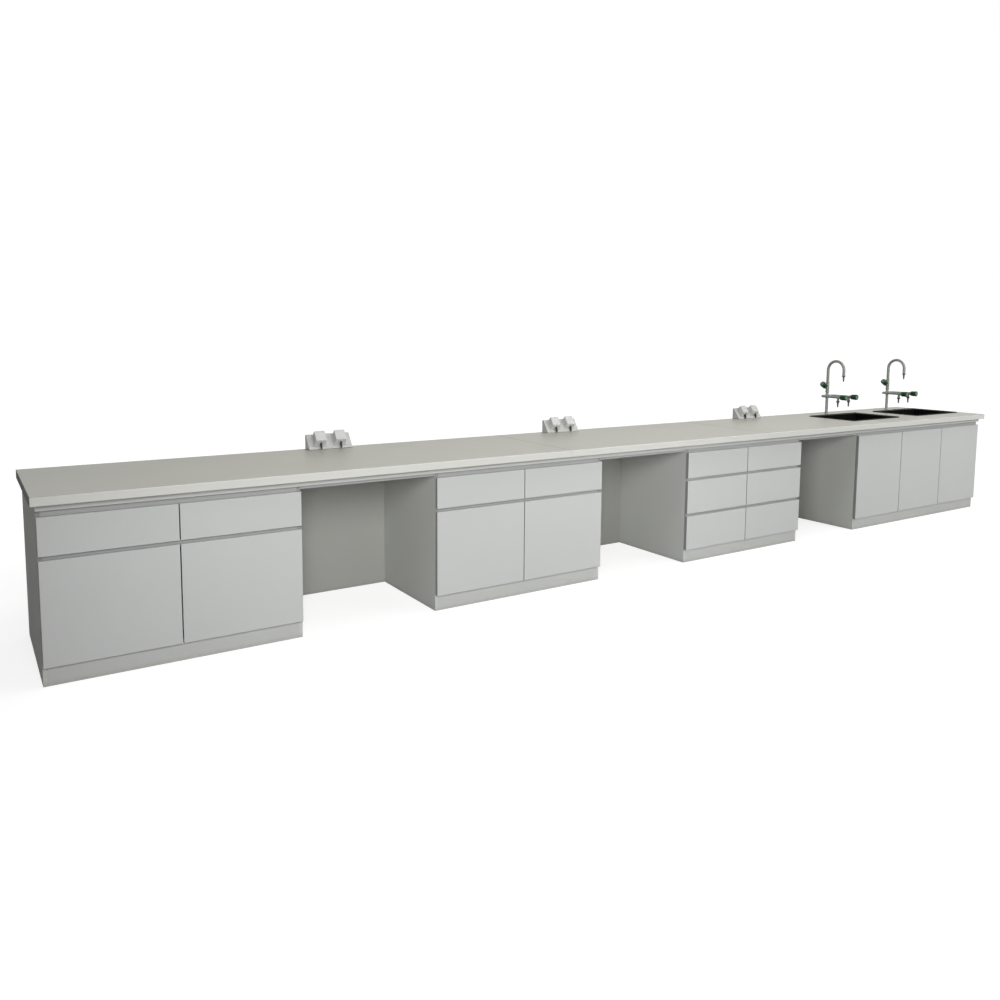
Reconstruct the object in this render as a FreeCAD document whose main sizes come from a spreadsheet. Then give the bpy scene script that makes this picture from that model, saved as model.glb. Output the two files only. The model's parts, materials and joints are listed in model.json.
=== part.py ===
"""Wall workbench with two sinks: a long laboratory side bench on four cabinets, with three knee spaces.

Frame: +X along the bench, +Z up, the front faces -Y and the wall is on the +Y side. The origin is on the
floor under the middle of the worktop. All lengths are in millimetres and all angles in degrees.
"""
import FreeCAD
import Part
import Sketcher
import os
from math import atan2, cos, degrees, hypot, pi, sin
from types import SimpleNamespace

WORKTOP_SIZES = {
    "worktop_height": 800,
    "worktop_depth": 800,
    "worktop_thickness": 40,
    "worktop_edge_radius": 4,
    "worktop_left_length": 2686,
    "worktop_middle_length": 1680,
    "worktop_seam": 0.6,
    "end_overhang": 20,
    "front_overhang": 36,
    "back_overhang": 20,
}

CABINET_SIZES = {
    "front_module": 550,
    "knee_left_width": 720,
    "knee_middle_width": 700,
    "knee_right_width": 655,
    "board": 18,
    "back_board": 8,
    "plinth_height": 84,
    "knee_panel_setback": 675,
    "rail_overlap": 12,
    "apron_drop": 16,
    "mullion_depth": 100,
}

FRONT_SIZES = {
    "front_thickness": 18,
    "front_standoff": 2.5,
    "front_reveal": 2.5,
    "fascia_height": 25,
    "top_grip_gap": 25,
    "grip_gap": 18,
    "drawer_front_height": 162,
    "lower_front_height": 218,
}

DRAWER_SIZES = {
    "drawer_board": 14,
    "drawer_bottom_board": 6,
    "drawer_bottom_inset": 10,
    "drawer_box_depth": 500,
    "drawer_box_clearance": 8,
    "runner_space": 13,
    "runner_width": 10,
    "runner_height": 35,
    "runner_length": 500,
    "runner_wall": 1.5,
    "runner_float": 1,
    "runner_clearance": 0.3,
}

HINGE_SIZES = {
    "hinge_inset": 90,
    "hinge_edge": 6.5,
    "hinge_pin_depth": 10.5,
    "hinge_pin_radius": 1.2,
    "hinge_pin_length": 13,
    "hinge_eye_radius": 2.2,
    "hinge_clearance": 0.05,
    "hinge_slot_clearance": 0.3,
    "hinge_slot_height": 10.4,
    "hinge_cup_radius": 17.5,
    "hinge_cup_edge": 2.5,
    "hinge_cup_depth": 13.5,
    "hinge_cup_floor": 0.6,
    "hinge_arm_height": 9,
    "hinge_arm_thickness": 2,
    "hinge_arm_offset": 8,
    "hinge_plate_thickness": 2,
    "hinge_plate_height": 28,
    "hinge_plate_length": 42,
    "hinge_plate_setback": 8,
    "hinge_block_margin": 5,
}

SINK_SIZES = {
    "sink_length": 598,
    "sink_width": 412,
    "sink_corner_radius": 14,
    "sink_rim_height": 7,
    "sink_rim_width": 24,
    "sink_lip_width": 7,
    "sink_lip_height": 4,
    "sink_bowl_depth": 300,
    "sink_bowl_draft": 14,
    "sink_bowl_corner_radius": 16,
    "sink_wall": 5,
    "sink_hole_clearance": 2,
    "sink_left_inset": 460,
    "sink_right_inset": 347,
    "sink_front_share": 0.49227,
    "waste_radius": 20,
    "waste_bore_radius": 16,
    "waste_hole_clearance": 0.3,
    "waste_flange_radius": 34,
    "waste_flange_height": 2.5,
    "waste_tail": 70,
    "waste_slot_radius": 3.5,
    "waste_slot_circle": 10,
    "waste_nut_radius": 30,
    "waste_nut_height": 10,
    "trap_radius": 32,
    "trap_height": 110,
    "trap_inlet_depth": 30,
    "trap_outlet_drop": 45,
    "trap_outlet_radius": 20,
    "trap_outlet_reach": 70,
    "trap_spigot_radius": 16,
    "trap_spigot_length": 80,
}

TAP_SIZES = {
    "tap_offset": 26,
    "tap_back_share": 0.38579,
    "tap_column_radius": 11.3,
    "tap_flange_radius": 17,
    "tap_flange_height": 3,
    "tap_shank_radius": 9,
    "tap_shank_tail": 30,
    "tap_inlet_radius": 7,
    "tap_inlet_length": 40,
    "tap_hole_clearance": 0.5,
    "tap_nut_radius": 17,
    "tap_nut_height": 9,
    "tap_arm_height": 151,
    "tap_arm_radius": 10,
    "tap_arm_reach": 155,
    "tap_bar_half": 70,
    "tap_tee_radius": 14.5,
    "tap_tee_height": 32,
    "tap_bonnet_radius": 13,
    "tap_bonnet_length": 22,
    "tap_bonnet_start": 8,
    "tap_outlet_radius": 9,
    "tap_outlet_drop": 30,
    "tap_nozzle_collar_radius": 13,
    "tap_nozzle_collar_height": 13,
    "tap_nozzle_length": 38,
    "tap_nozzle_root_radius": 8,
    "tap_nozzle_tip_radius": 5,
    "tap_nozzle_bore_radius": 3,
    "tap_rib_depth": 1.3,
    "tap_collar_level": 180,
    "tap_collar_radius": 16,
    "tap_collar_height": 11,
    "tap_upper_radius": 14,
    "tap_upper_top": 262,
    "tap_knob_level": 211,
    "tap_knob_tilt": 32,
    "tap_knob_stem": 36,
    "tap_stem_radius": 4,
    "tap_stem_length": 24,
    "tap_stem_clearance": 0.05,
    "tap_running_gap": 0.3,
    "spout_radius": 11.5,
    "spout_bore_radius": 9.5,
    "spout_reach": 148,
    "spout_apex": 440,
    "spout_end_level": 327,
    "spout_socket_depth": 26,
    "spout_clearance": 0.06,
    "spout_collar_radius": 14,
    "spout_collar_height": 8,
}

KNOB_SIZES = {
    "knob_length": 46,
    "knob_outer_radius": 23,
    "knob_inner_radius": 20.5,
    "knob_edge": 3,
    "knob_flute_radius": 5.5,
    "knob_flute_depth": 2.5,
    "knob_flute_draft": 3,
}

SOCKET_SIZES = {
    "socket_width": 257,
    "socket_height": 80,
    "socket_foot_depth": 71,
    "socket_top_depth": 12,
    "socket_wall": 3,
    "socket_left_inset": 424,
    "socket_middle_inset": 240,
    "socket_right_inset": 272,
    "socket_pitch": 118,
    "socket_plate_side": 76,
    "socket_plate_thickness": 4,
    "socket_plate_margin": 2,
    "socket_body_side": 56,
    "socket_body_depth": 18,
    "socket_body_clearance": 0.4,
    "socket_well_radius": 19.5,
    "socket_well_depth": 14,
    "socket_pin_radius": 2.4,
    "socket_pin_pitch": 19,
    "cover_width": 68,
    "cover_length": 64,
    "cover_height": 32,
    "cover_side_draft": 2.5,
    "cover_top_lean": 11,
    "cover_chin_draft": 12,
    "cover_wall": 2,
    "cover_gap": 0.3,
    "cover_knuckle_radius": 3,
    "cover_knuckle_length": 50,
    "cover_knuckle_rise": 3.4,
    "cover_knuckle_reach": 4.5,
    "cover_pin_radius": 1.25,
    "cover_pin_clearance": 0.05,
    "cover_ear_width": 4,
    "cover_ear_gap": 0.4,
    "cover_tab_width": 10,
    "cover_tab_thickness": 4,
    "cover_tab_rise_share": 0.55,
    "cover_tab_foot_gap": 2,
}

# Every cut runs this far past the face that it opens.
SHARED_SIZES = {"cut_overrun": 1}

SIZES = {
    **WORKTOP_SIZES, **CABINET_SIZES, **FRONT_SIZES, **DRAWER_SIZES, **HINGE_SIZES, **SINK_SIZES,
    **TAP_SIZES, **KNOB_SIZES, **SOCKET_SIZES, **SHARED_SIZES,
}

WASTE_SLOTS = 6
KNOB_FLUTES = 8
NOZZLE_RIBS = 4


class Term:
    """A size of the sheet, or a sum of sizes: the expression that binds it, and its value."""

    def __init__(self, text, value):
        self.text = text
        self.value = value

    @staticmethod
    def of(number):
        return number if isinstance(number, Term) else Term(repr(number), number)

    def __add__(self, other):
        other = Term.of(other)
        return Term(f"({self.text} + {other.text})", self.value + other.value)

    def __sub__(self, other):
        other = Term.of(other)
        return Term(f"({self.text} - {other.text})", self.value - other.value)

    def __mul__(self, other):
        other = Term.of(other)
        return Term(f"({self.text} * {other.text})", self.value * other.value)

    def __truediv__(self, other):
        other = Term.of(other)
        return Term(f"({self.text} / {other.text})", self.value / other.value)

    def __neg__(self):
        return Term(f"(-{self.text})", -self.value)


ZERO = Term("0", 0)
DOC = FreeCAD.newDocument("wall_workbench")
NODES = []
Vector = FreeCAD.Vector
AXES = {"x": Vector(1, 0, 0), "y": Vector(0, 1, 0), "z": Vector(0, 0, 1)}


def make_sheet():
    """Writes the sizes into a sheet with one alias each, and returns them as terms."""
    sheet = DOC.addObject("Spreadsheet::Sheet", "Sizes")
    for row, (alias, value) in enumerate(SIZES.items(), start=1):
        sheet.set(f"A{row}", alias)
        sheet.set(f"B{row}", str(value))
        sheet.setAlias(f"B{row}", alias)
    DOC.recompute()
    return SimpleNamespace(**{alias: Term(f"Sizes.{alias}", value) for alias, value in SIZES.items()})


size = make_sheet()

# Lines of the bench that several pieces share, from the left to the right and from the front to the wall.
bench_length = (size.end_overhang * 2 + size.front_module * 9
                + size.knee_left_width + size.knee_middle_width + size.knee_right_width)
left = -bench_length / 2
front = -size.worktop_depth / 2
back = size.worktop_depth / 2
front_face = front + size.front_overhang
front_back = front_face + size.front_thickness
carcass_front = front_back + size.front_standoff
carcass_back = back - size.back_overhang
carcass_depth = carcass_back - carcass_front
knee_panel_front = front + size.knee_panel_setback

# Levels, from the worktop down.
top = size.worktop_height
underside = top - size.worktop_thickness
fascia_bottom = underside - size.fascia_height
front_top = fascia_bottom - size.top_grip_gap
drawer_bottom = front_top - size.drawer_front_height
door_top = drawer_bottom - size.grip_gap
lower_top = size.plinth_height + size.lower_front_height
middle_bottom = lower_top + size.grip_gap
front_bottom = size.plinth_height
floor_top = size.plinth_height + size.board
top_rail_bottom = front_top - size.rail_overlap


def cabinet(x, modules):
    """The lines of one cabinet: its outer left side, its width and the clear span between its sides."""
    width = size.front_module * modules
    return SimpleNamespace(
        x=x, width=width, right=x + width, inner=x + size.board, span=width - size.board * 2,
        middle=x + width / 2, modules=modules,
    )


left_cabinet = cabinet(left + size.end_overhang, 2)
middle_cabinet = cabinet(left_cabinet.right + size.knee_left_width, 2)
drawer_cabinet = cabinet(middle_cabinet.right + size.knee_middle_width, 2)
sink_cabinet = cabinet(drawer_cabinet.right + size.knee_right_width, 3)
CABINETS = (left_cabinet, middle_cabinet, drawer_cabinet, sink_cabinet)
DOOR_CABINETS = (left_cabinet, middle_cabinet)
KNEES = tuple(
    SimpleNamespace(x=before.right, width=width)
    for before, width in zip(CABINETS, (size.knee_left_width, size.knee_middle_width, size.knee_right_width))
)

# Levels of the rails behind the grip gaps, and of the drawer rows between them.
upper_rail = SimpleNamespace(bottom=door_top - size.rail_overlap, top=drawer_bottom + size.rail_overlap)
lower_rail = SimpleNamespace(bottom=lower_top - size.rail_overlap, top=middle_bottom + size.rail_overlap)
TOP_ROW = SimpleNamespace(front=(drawer_bottom, front_top), clear=(upper_rail.top, top_rail_bottom))
MIDDLE_ROW = SimpleNamespace(front=(middle_bottom, door_top), clear=(lower_rail.top, upper_rail.bottom))
LOWER_ROW = SimpleNamespace(front=(front_bottom, lower_top), clear=(floor_top, lower_rail.bottom))

# Places of the sinks and their taps, and of the sockets.
sink_front_strip = (size.worktop_depth - size.sink_width) * size.sink_front_share
sink_back = front + sink_front_strip + size.sink_width
sink_y = sink_back - size.sink_width / 2
SINK_XS = (sink_cabinet.x + size.sink_left_inset, sink_cabinet.right - size.sink_right_inset)
tap_y = sink_back + (back - sink_back) * size.tap_back_share
TAP_XS = tuple(x + size.tap_offset for x in SINK_XS)
SOCKET_XS = tuple(
    knee.x + inset
    for knee, inset in zip(KNEES, (size.socket_left_inset, size.socket_middle_inset, size.socket_right_inset))
)


def bind(item, **terms):
    """Binds properties of a document object to sizes of the sheet."""
    for name, term in terms.items():
        item.setExpression(name, Term.of(term).text)


def place(item, x=ZERO, y=ZERO, z=ZERO, turn=None):
    """Binds an object's place, after turning it by (axis, angle) where a turn is given."""
    if turn:
        axis, angle = turn
        angle = Term.of(angle)
        item.Placement = FreeCAD.Placement(Vector(), FreeCAD.Rotation(AXES[axis], angle.value))
        if angle.text != repr(angle.value):
            item.setExpression("Placement.Rotation.Angle", angle.text)
    for axis, term in zip("xyz", (x, y, z)):
        item.setExpression(f"Placement.Base.{axis}", Term.of(term).text)
    return item


def box(name, start, sides):
    """A board or block from its lowest corner and its three sides."""
    item = DOC.addObject("Part::Box", name)
    bind(item, Length=sides[0], Width=sides[1], Height=sides[2])
    return place(item, *start)


def block(name, start, end):
    """A board or block between two corners."""
    return box(name, start, tuple(far - near for near, far in zip(start, end)))


def rod(name, radius, length, start=(ZERO, ZERO, ZERO), turn=None):
    """A cylinder that stands on its start, along +Z unless it is turned."""
    item = DOC.addObject("Part::Cylinder", name)
    bind(item, Radius=radius, Height=length)
    return place(item, *start, turn=turn)


def cone(name, radii, length, start):
    """An upright cone stump, from its lower and its upper radius."""
    item = DOC.addObject("Part::Cone", name)
    bind(item, Radius1=radii[0], Radius2=radii[1], Height=length)
    return place(item, *start)


def ball(name, radius, centre):
    item = DOC.addObject("Part::Sphere", name)
    bind(item, Radius=radius)
    return place(item, *centre)


def fuse(name, members):
    item = DOC.addObject("Part::MultiFuse", name)
    item.Shapes = members
    item.Refine = True
    return item


def cut(name, base, tools):
    item = DOC.addObject("Part::Cut", name)
    item.Base = base
    item.Tool = tools[0] if len(tools) == 1 else fuse(f"{name}_tools", tools)
    return item


def group(name, members, turn=None, at=(ZERO, ZERO, ZERO)):
    """Separate solids kept together, as one object with a place of its own."""
    item = DOC.addObject("Part::Compound", name)
    item.Links = members
    return place(item, *at, turn=turn)


def node(name, members, turn=None, at=(ZERO, ZERO, ZERO)):
    """A named sub-part of the bench, which is written to a file of its own."""
    item = group(name, members, turn=turn, at=at)
    item.Label = name
    NODES.append(item)
    return item


def sketch(body, name, plane, offset=None):
    """A sketch on one of its body's own planes, raised by an offset where one is given."""
    item = body.newObject("Sketcher::SketchObject", name)
    support = next(feature for feature in body.Origin.OriginFeatures if feature.Role == plane)
    item.AttachmentSupport = [(support, "")]
    item.MapMode = "FlatFace"
    if offset is not None:
        item.setExpression("AttachmentOffset.Base.z", offset.text)
    return item


def pin_point(item, geometry, end, x, y):
    """Ties one point of a sketch to its two sizes, or to the axis that it lies on."""
    for kind, term, axis in (("DistanceX", x, -2), ("DistanceY", y, -1)):
        if term.text == "0":
            item.addConstraint(Sketcher.Constraint("PointOnObject", geometry, end, axis))
        else:
            index = item.addConstraint(Sketcher.Constraint(kind, -1, 1, geometry, end, term.value))
            item.setExpression(f"Constraints[{index}]", term.text)


def outline(item, points):
    """A closed outline of straight lines through bound points."""
    corners = [Vector(x.value, y.value, 0) for x, y in points]
    ends = corners[1:] + corners[:1]
    lines = [item.addGeometry(Part.LineSegment(near, far)) for near, far in zip(corners, ends)]
    for line, following in zip(lines, lines[1:] + lines[:1]):
        item.addConstraint(Sketcher.Constraint("Coincident", line, 2, following, 1))
    for line, (x, y) in zip(lines, points):
        pin_point(item, line, 1, x, y)


def rectangle(item, start, end):
    (x0, y0), (x1, y1) = start, end
    outline(item, [(x0, y0), (x1, y0), (x1, y1), (x0, y1)])


def rounded_rectangle(item, half_x, half_y, radius):
    """A rectangle about the sketch's origin with round corners, each a quarter of a circle."""
    inset_x = half_x - radius
    inset_y = half_y - radius
    starts = [(-inset_x, -half_y), (half_x, -inset_y), (inset_x, half_y), (-half_x, inset_y)]
    ends = [(inset_x, -half_y), (half_x, inset_y), (-inset_x, half_y), (-half_x, -inset_y)]
    centres = [(inset_x, -inset_y), (inset_x, inset_y), (-inset_x, inset_y), (-inset_x, -inset_y)]
    lines = []
    for (x0, y0), (x1, y1) in zip(starts, ends):
        segment = Part.LineSegment(Vector(x0.value, y0.value, 0), Vector(x1.value, y1.value, 0))
        lines.append(item.addGeometry(segment))
    for count, (centre, line) in enumerate(zip(centres, lines)):
        circle = Part.Circle(Vector(centre[0].value, centre[1].value, 0), Vector(0, 0, 1), radius.value)
        quarter = pi / 2 * (count - 1)
        arc = item.addGeometry(Part.ArcOfCircle(circle, quarter, quarter + pi / 2))
        item.addConstraint(Sketcher.Constraint("Coincident", line, 2, arc, 1))
        item.addConstraint(Sketcher.Constraint("Coincident", arc, 2, lines[(count + 1) % len(lines)], 1))
        index = item.addConstraint(Sketcher.Constraint("Radius", arc, radius.value))
        item.setExpression(f"Constraints[{index}]", radius.text)
    for line, start, end in zip(lines, starts, ends):
        pin_point(item, line, 1, *start)
        pin_point(item, line, 2, *end)


def round_hole(item, x, y, radius):
    circle = item.addGeometry(Part.Circle(Vector(x.value, y.value, 0), Vector(0, 0, 1), radius.value))
    index = item.addConstraint(Sketcher.Constraint("Radius", circle, radius.value))
    item.setExpression(f"Constraints[{index}]", radius.text)
    pin_point(item, circle, 3, x, y)


def pad(body, profile, length, reverse=False, middle=False):
    item = body.newObject("PartDesign::Pad", f"{profile.Name}_pad")
    item.Profile = profile
    item.Reversed = reverse
    item.Midplane = middle
    bind(item, Length=length)
    return item


def pocket(body, profile, length, reverse=False, middle=False):
    item = body.newObject("PartDesign::Pocket", f"{profile.Name}_pocket")
    item.Profile = profile
    item.Reversed = reverse
    item.Midplane = middle
    bind(item, Length=length)
    return item


def loft(body, kind, name, profile, sections):
    item = body.newObject(f"PartDesign::{kind}", name)
    item.Profile = profile
    item.Sections = sections
    item.Ruled = True
    return item


def fillet(body, feature, radius, wanted):
    """Rounds the edges of a feature that the test on their end points picks out."""
    DOC.recompute()
    names = []
    for count, edge in enumerate(feature.Shape.Edges, start=1):
        if wanted([vertex.Point for vertex in edge.Vertexes]):
            names.append(f"Edge{count}")
    item = body.newObject("PartDesign::Fillet", f"{feature.Name}_fillet")
    item.Base = (feature, names)
    bind(item, Radius=radius)
    return item


def new_body(name):
    return DOC.addObject("PartDesign::Body", name)


def worktop_panel(name, start, length, sinks=(), taps=()):
    """One length of the worktop, with its rounded front edge and its cut-outs."""
    body = new_body(f"{name}_body")
    plate = sketch(body, f"{name}_outline", "XY_Plane")
    rectangle(plate, (ZERO, ZERO), (length, size.worktop_depth))
    solid = pad(body, plate, size.worktop_thickness)
    half_x = size.sink_length / 2 - size.sink_rim_width + size.sink_hole_clearance
    half_y = size.sink_width / 2 - size.sink_rim_width + size.sink_hole_clearance
    for x in sinks:
        hole = sketch(body, f"{name}_sink_hole", "XY_Plane")
        centre = (x - start, sink_y - front)
        rectangle(hole, (centre[0] - half_x, centre[1] - half_y), (centre[0] + half_x, centre[1] + half_y))
        solid = pocket(body, hole, size.worktop_thickness, reverse=True)
    for x in taps:
        hole = sketch(body, f"{name}_tap_hole", "XY_Plane")
        round_hole(hole, x - start, tap_y - front, size.tap_shank_radius + size.tap_hole_clearance)
        solid = pocket(body, hole, size.worktop_thickness, reverse=True)
    near = 1e-6
    fillet(body, solid, size.worktop_edge_radius,
           lambda points: all(abs(point.y) < near for point in points)
           and abs(points[0].z - points[-1].z) < near)
    return node(name, [body], at=(start, front, underside))


def make_worktop():
    middle_start = left + size.worktop_left_length + size.worktop_seam
    right_start = middle_start + size.worktop_middle_length + size.worktop_seam
    worktop_panel("worktop_left", left, size.worktop_left_length)
    worktop_panel("worktop_middle", middle_start, size.worktop_middle_length)
    worktop_panel("worktop_right", right_start, bench_length / 2 - right_start, sinks=SINK_XS, taps=TAP_XS)


def make_carcasses():
    """The boards of the four cabinets, which stand on their side panels."""
    sides, floors, plinths, backs, rails, partitions = [], [], [], [], [], []
    back_rail_front = carcass_back - size.back_board - size.board
    divider_front = carcass_front + size.board
    for item in CABINETS:
        for x in (item.x, item.right - size.board):
            sides.append(box("side", (x, carcass_front, ZERO), (size.board, carcass_depth, underside)))
        floors.append(box("floor", (item.inner, carcass_front, size.plinth_height),
                          (item.span, carcass_depth, size.board)))
        plinths.append(box("plinth", (item.inner, carcass_front, ZERO),
                           (item.span, size.board, size.plinth_height)))
        rails.append(box("top_rail", (item.inner, carcass_front, top_rail_bottom),
                         (item.span, size.board, underside - top_rail_bottom)))
        rails.append(box("back_rail", (item.inner, back_rail_front, top_rail_bottom),
                         (item.span, size.board, underside - top_rail_bottom)))
        if item is not sink_cabinet:
            backs.append(box("back", (item.inner, carcass_back - size.back_board, floor_top),
                             (item.span, size.back_board, underside - floor_top)))
            rails.append(box("upper_rail", (item.inner, carcass_front, upper_rail.bottom),
                             (item.span, size.board, upper_rail.top - upper_rail.bottom)))
    rails.append(box("lower_rail", (drawer_cabinet.inner, carcass_front, lower_rail.bottom),
                     (drawer_cabinet.span, size.board, lower_rail.top - lower_rail.bottom)))
    for item in DOOR_CABINETS:
        partitions.append(box("deck", (item.inner, divider_front, upper_rail.top - size.board),
                              (item.span, carcass_back - size.back_board - divider_front, size.board)))
        partitions.append(block("short_divider", (item.middle - size.board / 2, divider_front, upper_rail.top),
                                (item.middle + size.board / 2, back_rail_front, underside)))
    partitions.append(block("divider", (drawer_cabinet.middle - size.board / 2, divider_front, floor_top),
                            (drawer_cabinet.middle + size.board / 2, back_rail_front, underside)))
    mullion_middle = sink_cabinet.right - size.front_module
    partitions.append(block("mullion", (mullion_middle - size.board, carcass_front, floor_top),
                            (mullion_middle + size.board, carcass_front + size.mullion_depth, top_rail_bottom)))
    node("carcass_sides", sides)
    node("carcass_floors", floors)
    node("plinth_boards", plinths)
    node("carcass_backs", backs)
    node("carcass_rails", rails)
    node("carcass_partitions", partitions)


def make_knee_spaces():
    panels = [box("knee_panel", (knee.x, knee_panel_front, ZERO), (knee.width, size.board, underside))
              for knee in KNEES]
    apron_bottom = fascia_bottom - size.apron_drop
    aprons = [box("apron", (knee.x, carcass_front, apron_bottom),
                  (knee.width, size.board, underside - apron_bottom)) for knee in KNEES]
    node("knee_space_boards", panels + aprons)


def make_fascia():
    depth = carcass_front - front_face
    strips = [box("fascia", (item.x, front_face, fascia_bottom), (item.width, depth, size.fascia_height))
              for item in CABINETS + KNEES]
    node("fascia_strips", strips)


def bay(item, column):
    """The clear bay of one drawer column, beside the divider of its cabinet."""
    width = size.front_module - size.board * 1.5
    return SimpleNamespace(x=(item.inner, item.middle + size.board / 2)[column], width=width)


def make_drawer(name, item, column, row):
    """One drawer: its front, and its box with a slide bar on each side."""
    low, high = row.front
    panel = block("drawer_front",
                  (item.x + size.front_module * column + size.front_reveal, front_face, low),
                  (item.x + size.front_module * (column + 1) - size.front_reveal, front_back, high))
    node(f"{name}_front", [panel])
    space = bay(item, column)
    x0 = space.x + size.runner_space
    x1 = space.x + space.width - size.runner_space
    z0 = row.clear[0] + size.drawer_box_clearance
    z1 = row.clear[1] - size.drawer_box_clearance
    y0 = front_back
    y1 = front_back + size.drawer_box_depth
    wall = size.drawer_board
    bottom = z0 + size.drawer_bottom_inset
    boards = [
        block("drawer_left", (x0, y0, z0), (x0 + wall, y1, z1)),
        block("drawer_right", (x1 - wall, y0, z0), (x1, y1, z1)),
        block("drawer_inner_front", (x0 + wall, y0, z0), (x1 - wall, y0 + wall, z1)),
        block("drawer_back", (x0 + wall, y1 - wall, z0), (x1 - wall, y1, z1)),
        block("drawer_bottom", (x0 + wall, y0 + wall, bottom),
              (x1 - wall, y1 - wall, bottom + size.drawer_bottom_board)),
    ]
    bar_half = size.runner_height / 2 - size.runner_wall - size.runner_clearance
    bar_width = size.runner_space - size.runner_wall - size.runner_float
    level = (z0 + z1) / 2
    bar_start = carcass_front + size.board
    for x in (x0 - bar_width, x1):
        boards.append(block("slide_bar", (x, bar_start, level - bar_half), (x + bar_width, y1, level + bar_half)))
    node(f"{name}_box", boards)
    return [(space.x, False, level), (space.x + space.width, True, level)]


DRAWERS = (
    ("left_cabinet_left_drawer", left_cabinet, 0, TOP_ROW),
    ("left_cabinet_right_drawer", left_cabinet, 1, TOP_ROW),
    ("middle_cabinet_left_drawer", middle_cabinet, 0, TOP_ROW),
    ("middle_cabinet_right_drawer", middle_cabinet, 1, TOP_ROW),
    ("drawer_cabinet_left_top_drawer", drawer_cabinet, 0, TOP_ROW),
    ("drawer_cabinet_right_top_drawer", drawer_cabinet, 1, TOP_ROW),
    ("drawer_cabinet_left_middle_drawer", drawer_cabinet, 0, MIDDLE_ROW),
    ("drawer_cabinet_right_middle_drawer", drawer_cabinet, 1, MIDDLE_ROW),
    ("drawer_cabinet_left_bottom_drawer", drawer_cabinet, 0, LOWER_ROW),
    ("drawer_cabinet_right_bottom_drawer", drawer_cabinet, 1, LOWER_ROW),
)


def make_drawers():
    """All drawers, and the channels on the carcass that carry their slide bars."""
    wall = size.runner_wall
    half = size.runner_height / 2
    outside = block("channel_outside", (ZERO, ZERO, -half), (size.runner_width, size.runner_length, half))
    inside = block("channel_inside", (wall, -size.cut_overrun, -half + wall),
                   (size.runner_width + size.cut_overrun, size.runner_length + size.cut_overrun, half - wall))
    channel = cut("channel", outside, [inside])
    channels = []
    for drawer in DRAWERS:
        for x, flipped, level in make_drawer(*drawer):
            turn = ("y", 180) if flipped else None
            channels.append(group("runner", [channel], turn=turn, at=(x, carcass_front + size.board, level)))
    node("runner_channels", channels)


def make_hinge_pieces():
    """Cup, pin and arm of a concealed hinge.

    They lie about a point on the door's back face at its hinge edge: X runs into the door, +Y into the
    cabinet, and Z is the middle of the hinge.
    """
    edge, depth = size.hinge_edge, size.hinge_pin_depth
    inner_face = size.board - size.front_reveal
    outer = inner_face + size.hinge_arm_offset
    overrun = size.cut_overrun
    pin_start = (edge, -depth, -size.hinge_pin_length / 2)
    pin = rod("hinge_pin", size.hinge_pin_radius, size.hinge_pin_length, pin_start)
    pin_hole = rod("hinge_pin_hole", size.hinge_pin_radius, size.hinge_pin_length, pin_start)
    cup_x = size.hinge_cup_edge + size.hinge_cup_radius
    disc = rod("hinge_disc", size.hinge_cup_radius, size.hinge_cup_depth, (cup_x, ZERO, ZERO), turn=("x", 90))
    slot_half = size.hinge_slot_height / 2
    slot_start = edge - size.hinge_eye_radius - size.hinge_slot_clearance
    slot = block("hinge_slot", (slot_start, size.hinge_cup_floor - size.hinge_cup_depth, -slot_half),
                 (outer + size.hinge_eye_radius, overrun, slot_half))
    cup = cut("hinge_cup", disc, [slot, pin_hole])
    bore = rod("hinge_bore", size.hinge_cup_radius, size.hinge_cup_depth, (cup_x, ZERO, ZERO), turn=("x", 90))
    half = size.hinge_arm_height / 2
    thick = size.hinge_arm_thickness
    plate_start = size.front_standoff + size.hinge_plate_setback
    plate_end = plate_start + size.hinge_plate_length
    margin = size.hinge_block_margin
    plate_half = size.hinge_plate_height / 2
    members = [
        rod("hinge_eye", size.hinge_eye_radius, size.hinge_arm_height, (edge, -depth, -half)),
        block("hinge_reach", (edge, -depth - thick / 2, -half), (outer, -depth + thick / 2, half)),
        block("hinge_crank", (outer - thick, -depth - thick / 2, -half), (outer, plate_end - margin, half)),
        block("hinge_block", (inner_face, plate_start + margin, -half), (outer, plate_end - margin, half)),
        block("hinge_plate", (inner_face, plate_start, -plate_half),
              (inner_face + size.hinge_plate_thickness, plate_end, plate_half)),
    ]
    eye_bore = rod("hinge_eye_bore", size.hinge_pin_radius + size.hinge_clearance,
                   size.hinge_arm_height + overrun * 2, (edge, -depth, -half - overrun))
    arm = cut("hinge_arm", fuse("hinge_arm_body", members), [eye_bore])
    return SimpleNamespace(cup=cup, pin=pin, bore=bore, arm=arm)


def door(name, item, column, high, on_right):
    """The outline of one door and the places of its hinges, on its left or on its right edge."""
    x0 = item.x + size.front_module * column + size.front_reveal
    x1 = item.x + size.front_module * (column + 1) - size.front_reveal
    levels = (front_bottom + size.hinge_inset, high - size.hinge_inset)
    return SimpleNamespace(name=name, x0=x0, x1=x1, low=front_bottom, high=high, on_right=on_right,
                           edge=x1 if on_right else x0, levels=levels,
                           axis=(x1 - size.hinge_edge if on_right else x0 + size.hinge_edge))


DOORS = (
    door("left_cabinet_left_door", left_cabinet, 0, door_top, False),
    door("left_cabinet_right_door", left_cabinet, 1, door_top, True),
    door("middle_cabinet_left_door", middle_cabinet, 0, door_top, False),
    door("middle_cabinet_right_door", middle_cabinet, 1, door_top, True),
    door("sink_cabinet_left_door", sink_cabinet, 0, front_top, False),
    door("sink_cabinet_middle_door", sink_cabinet, 1, front_top, True),
    door("sink_cabinet_right_door", sink_cabinet, 2, front_top, True),
)


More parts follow.
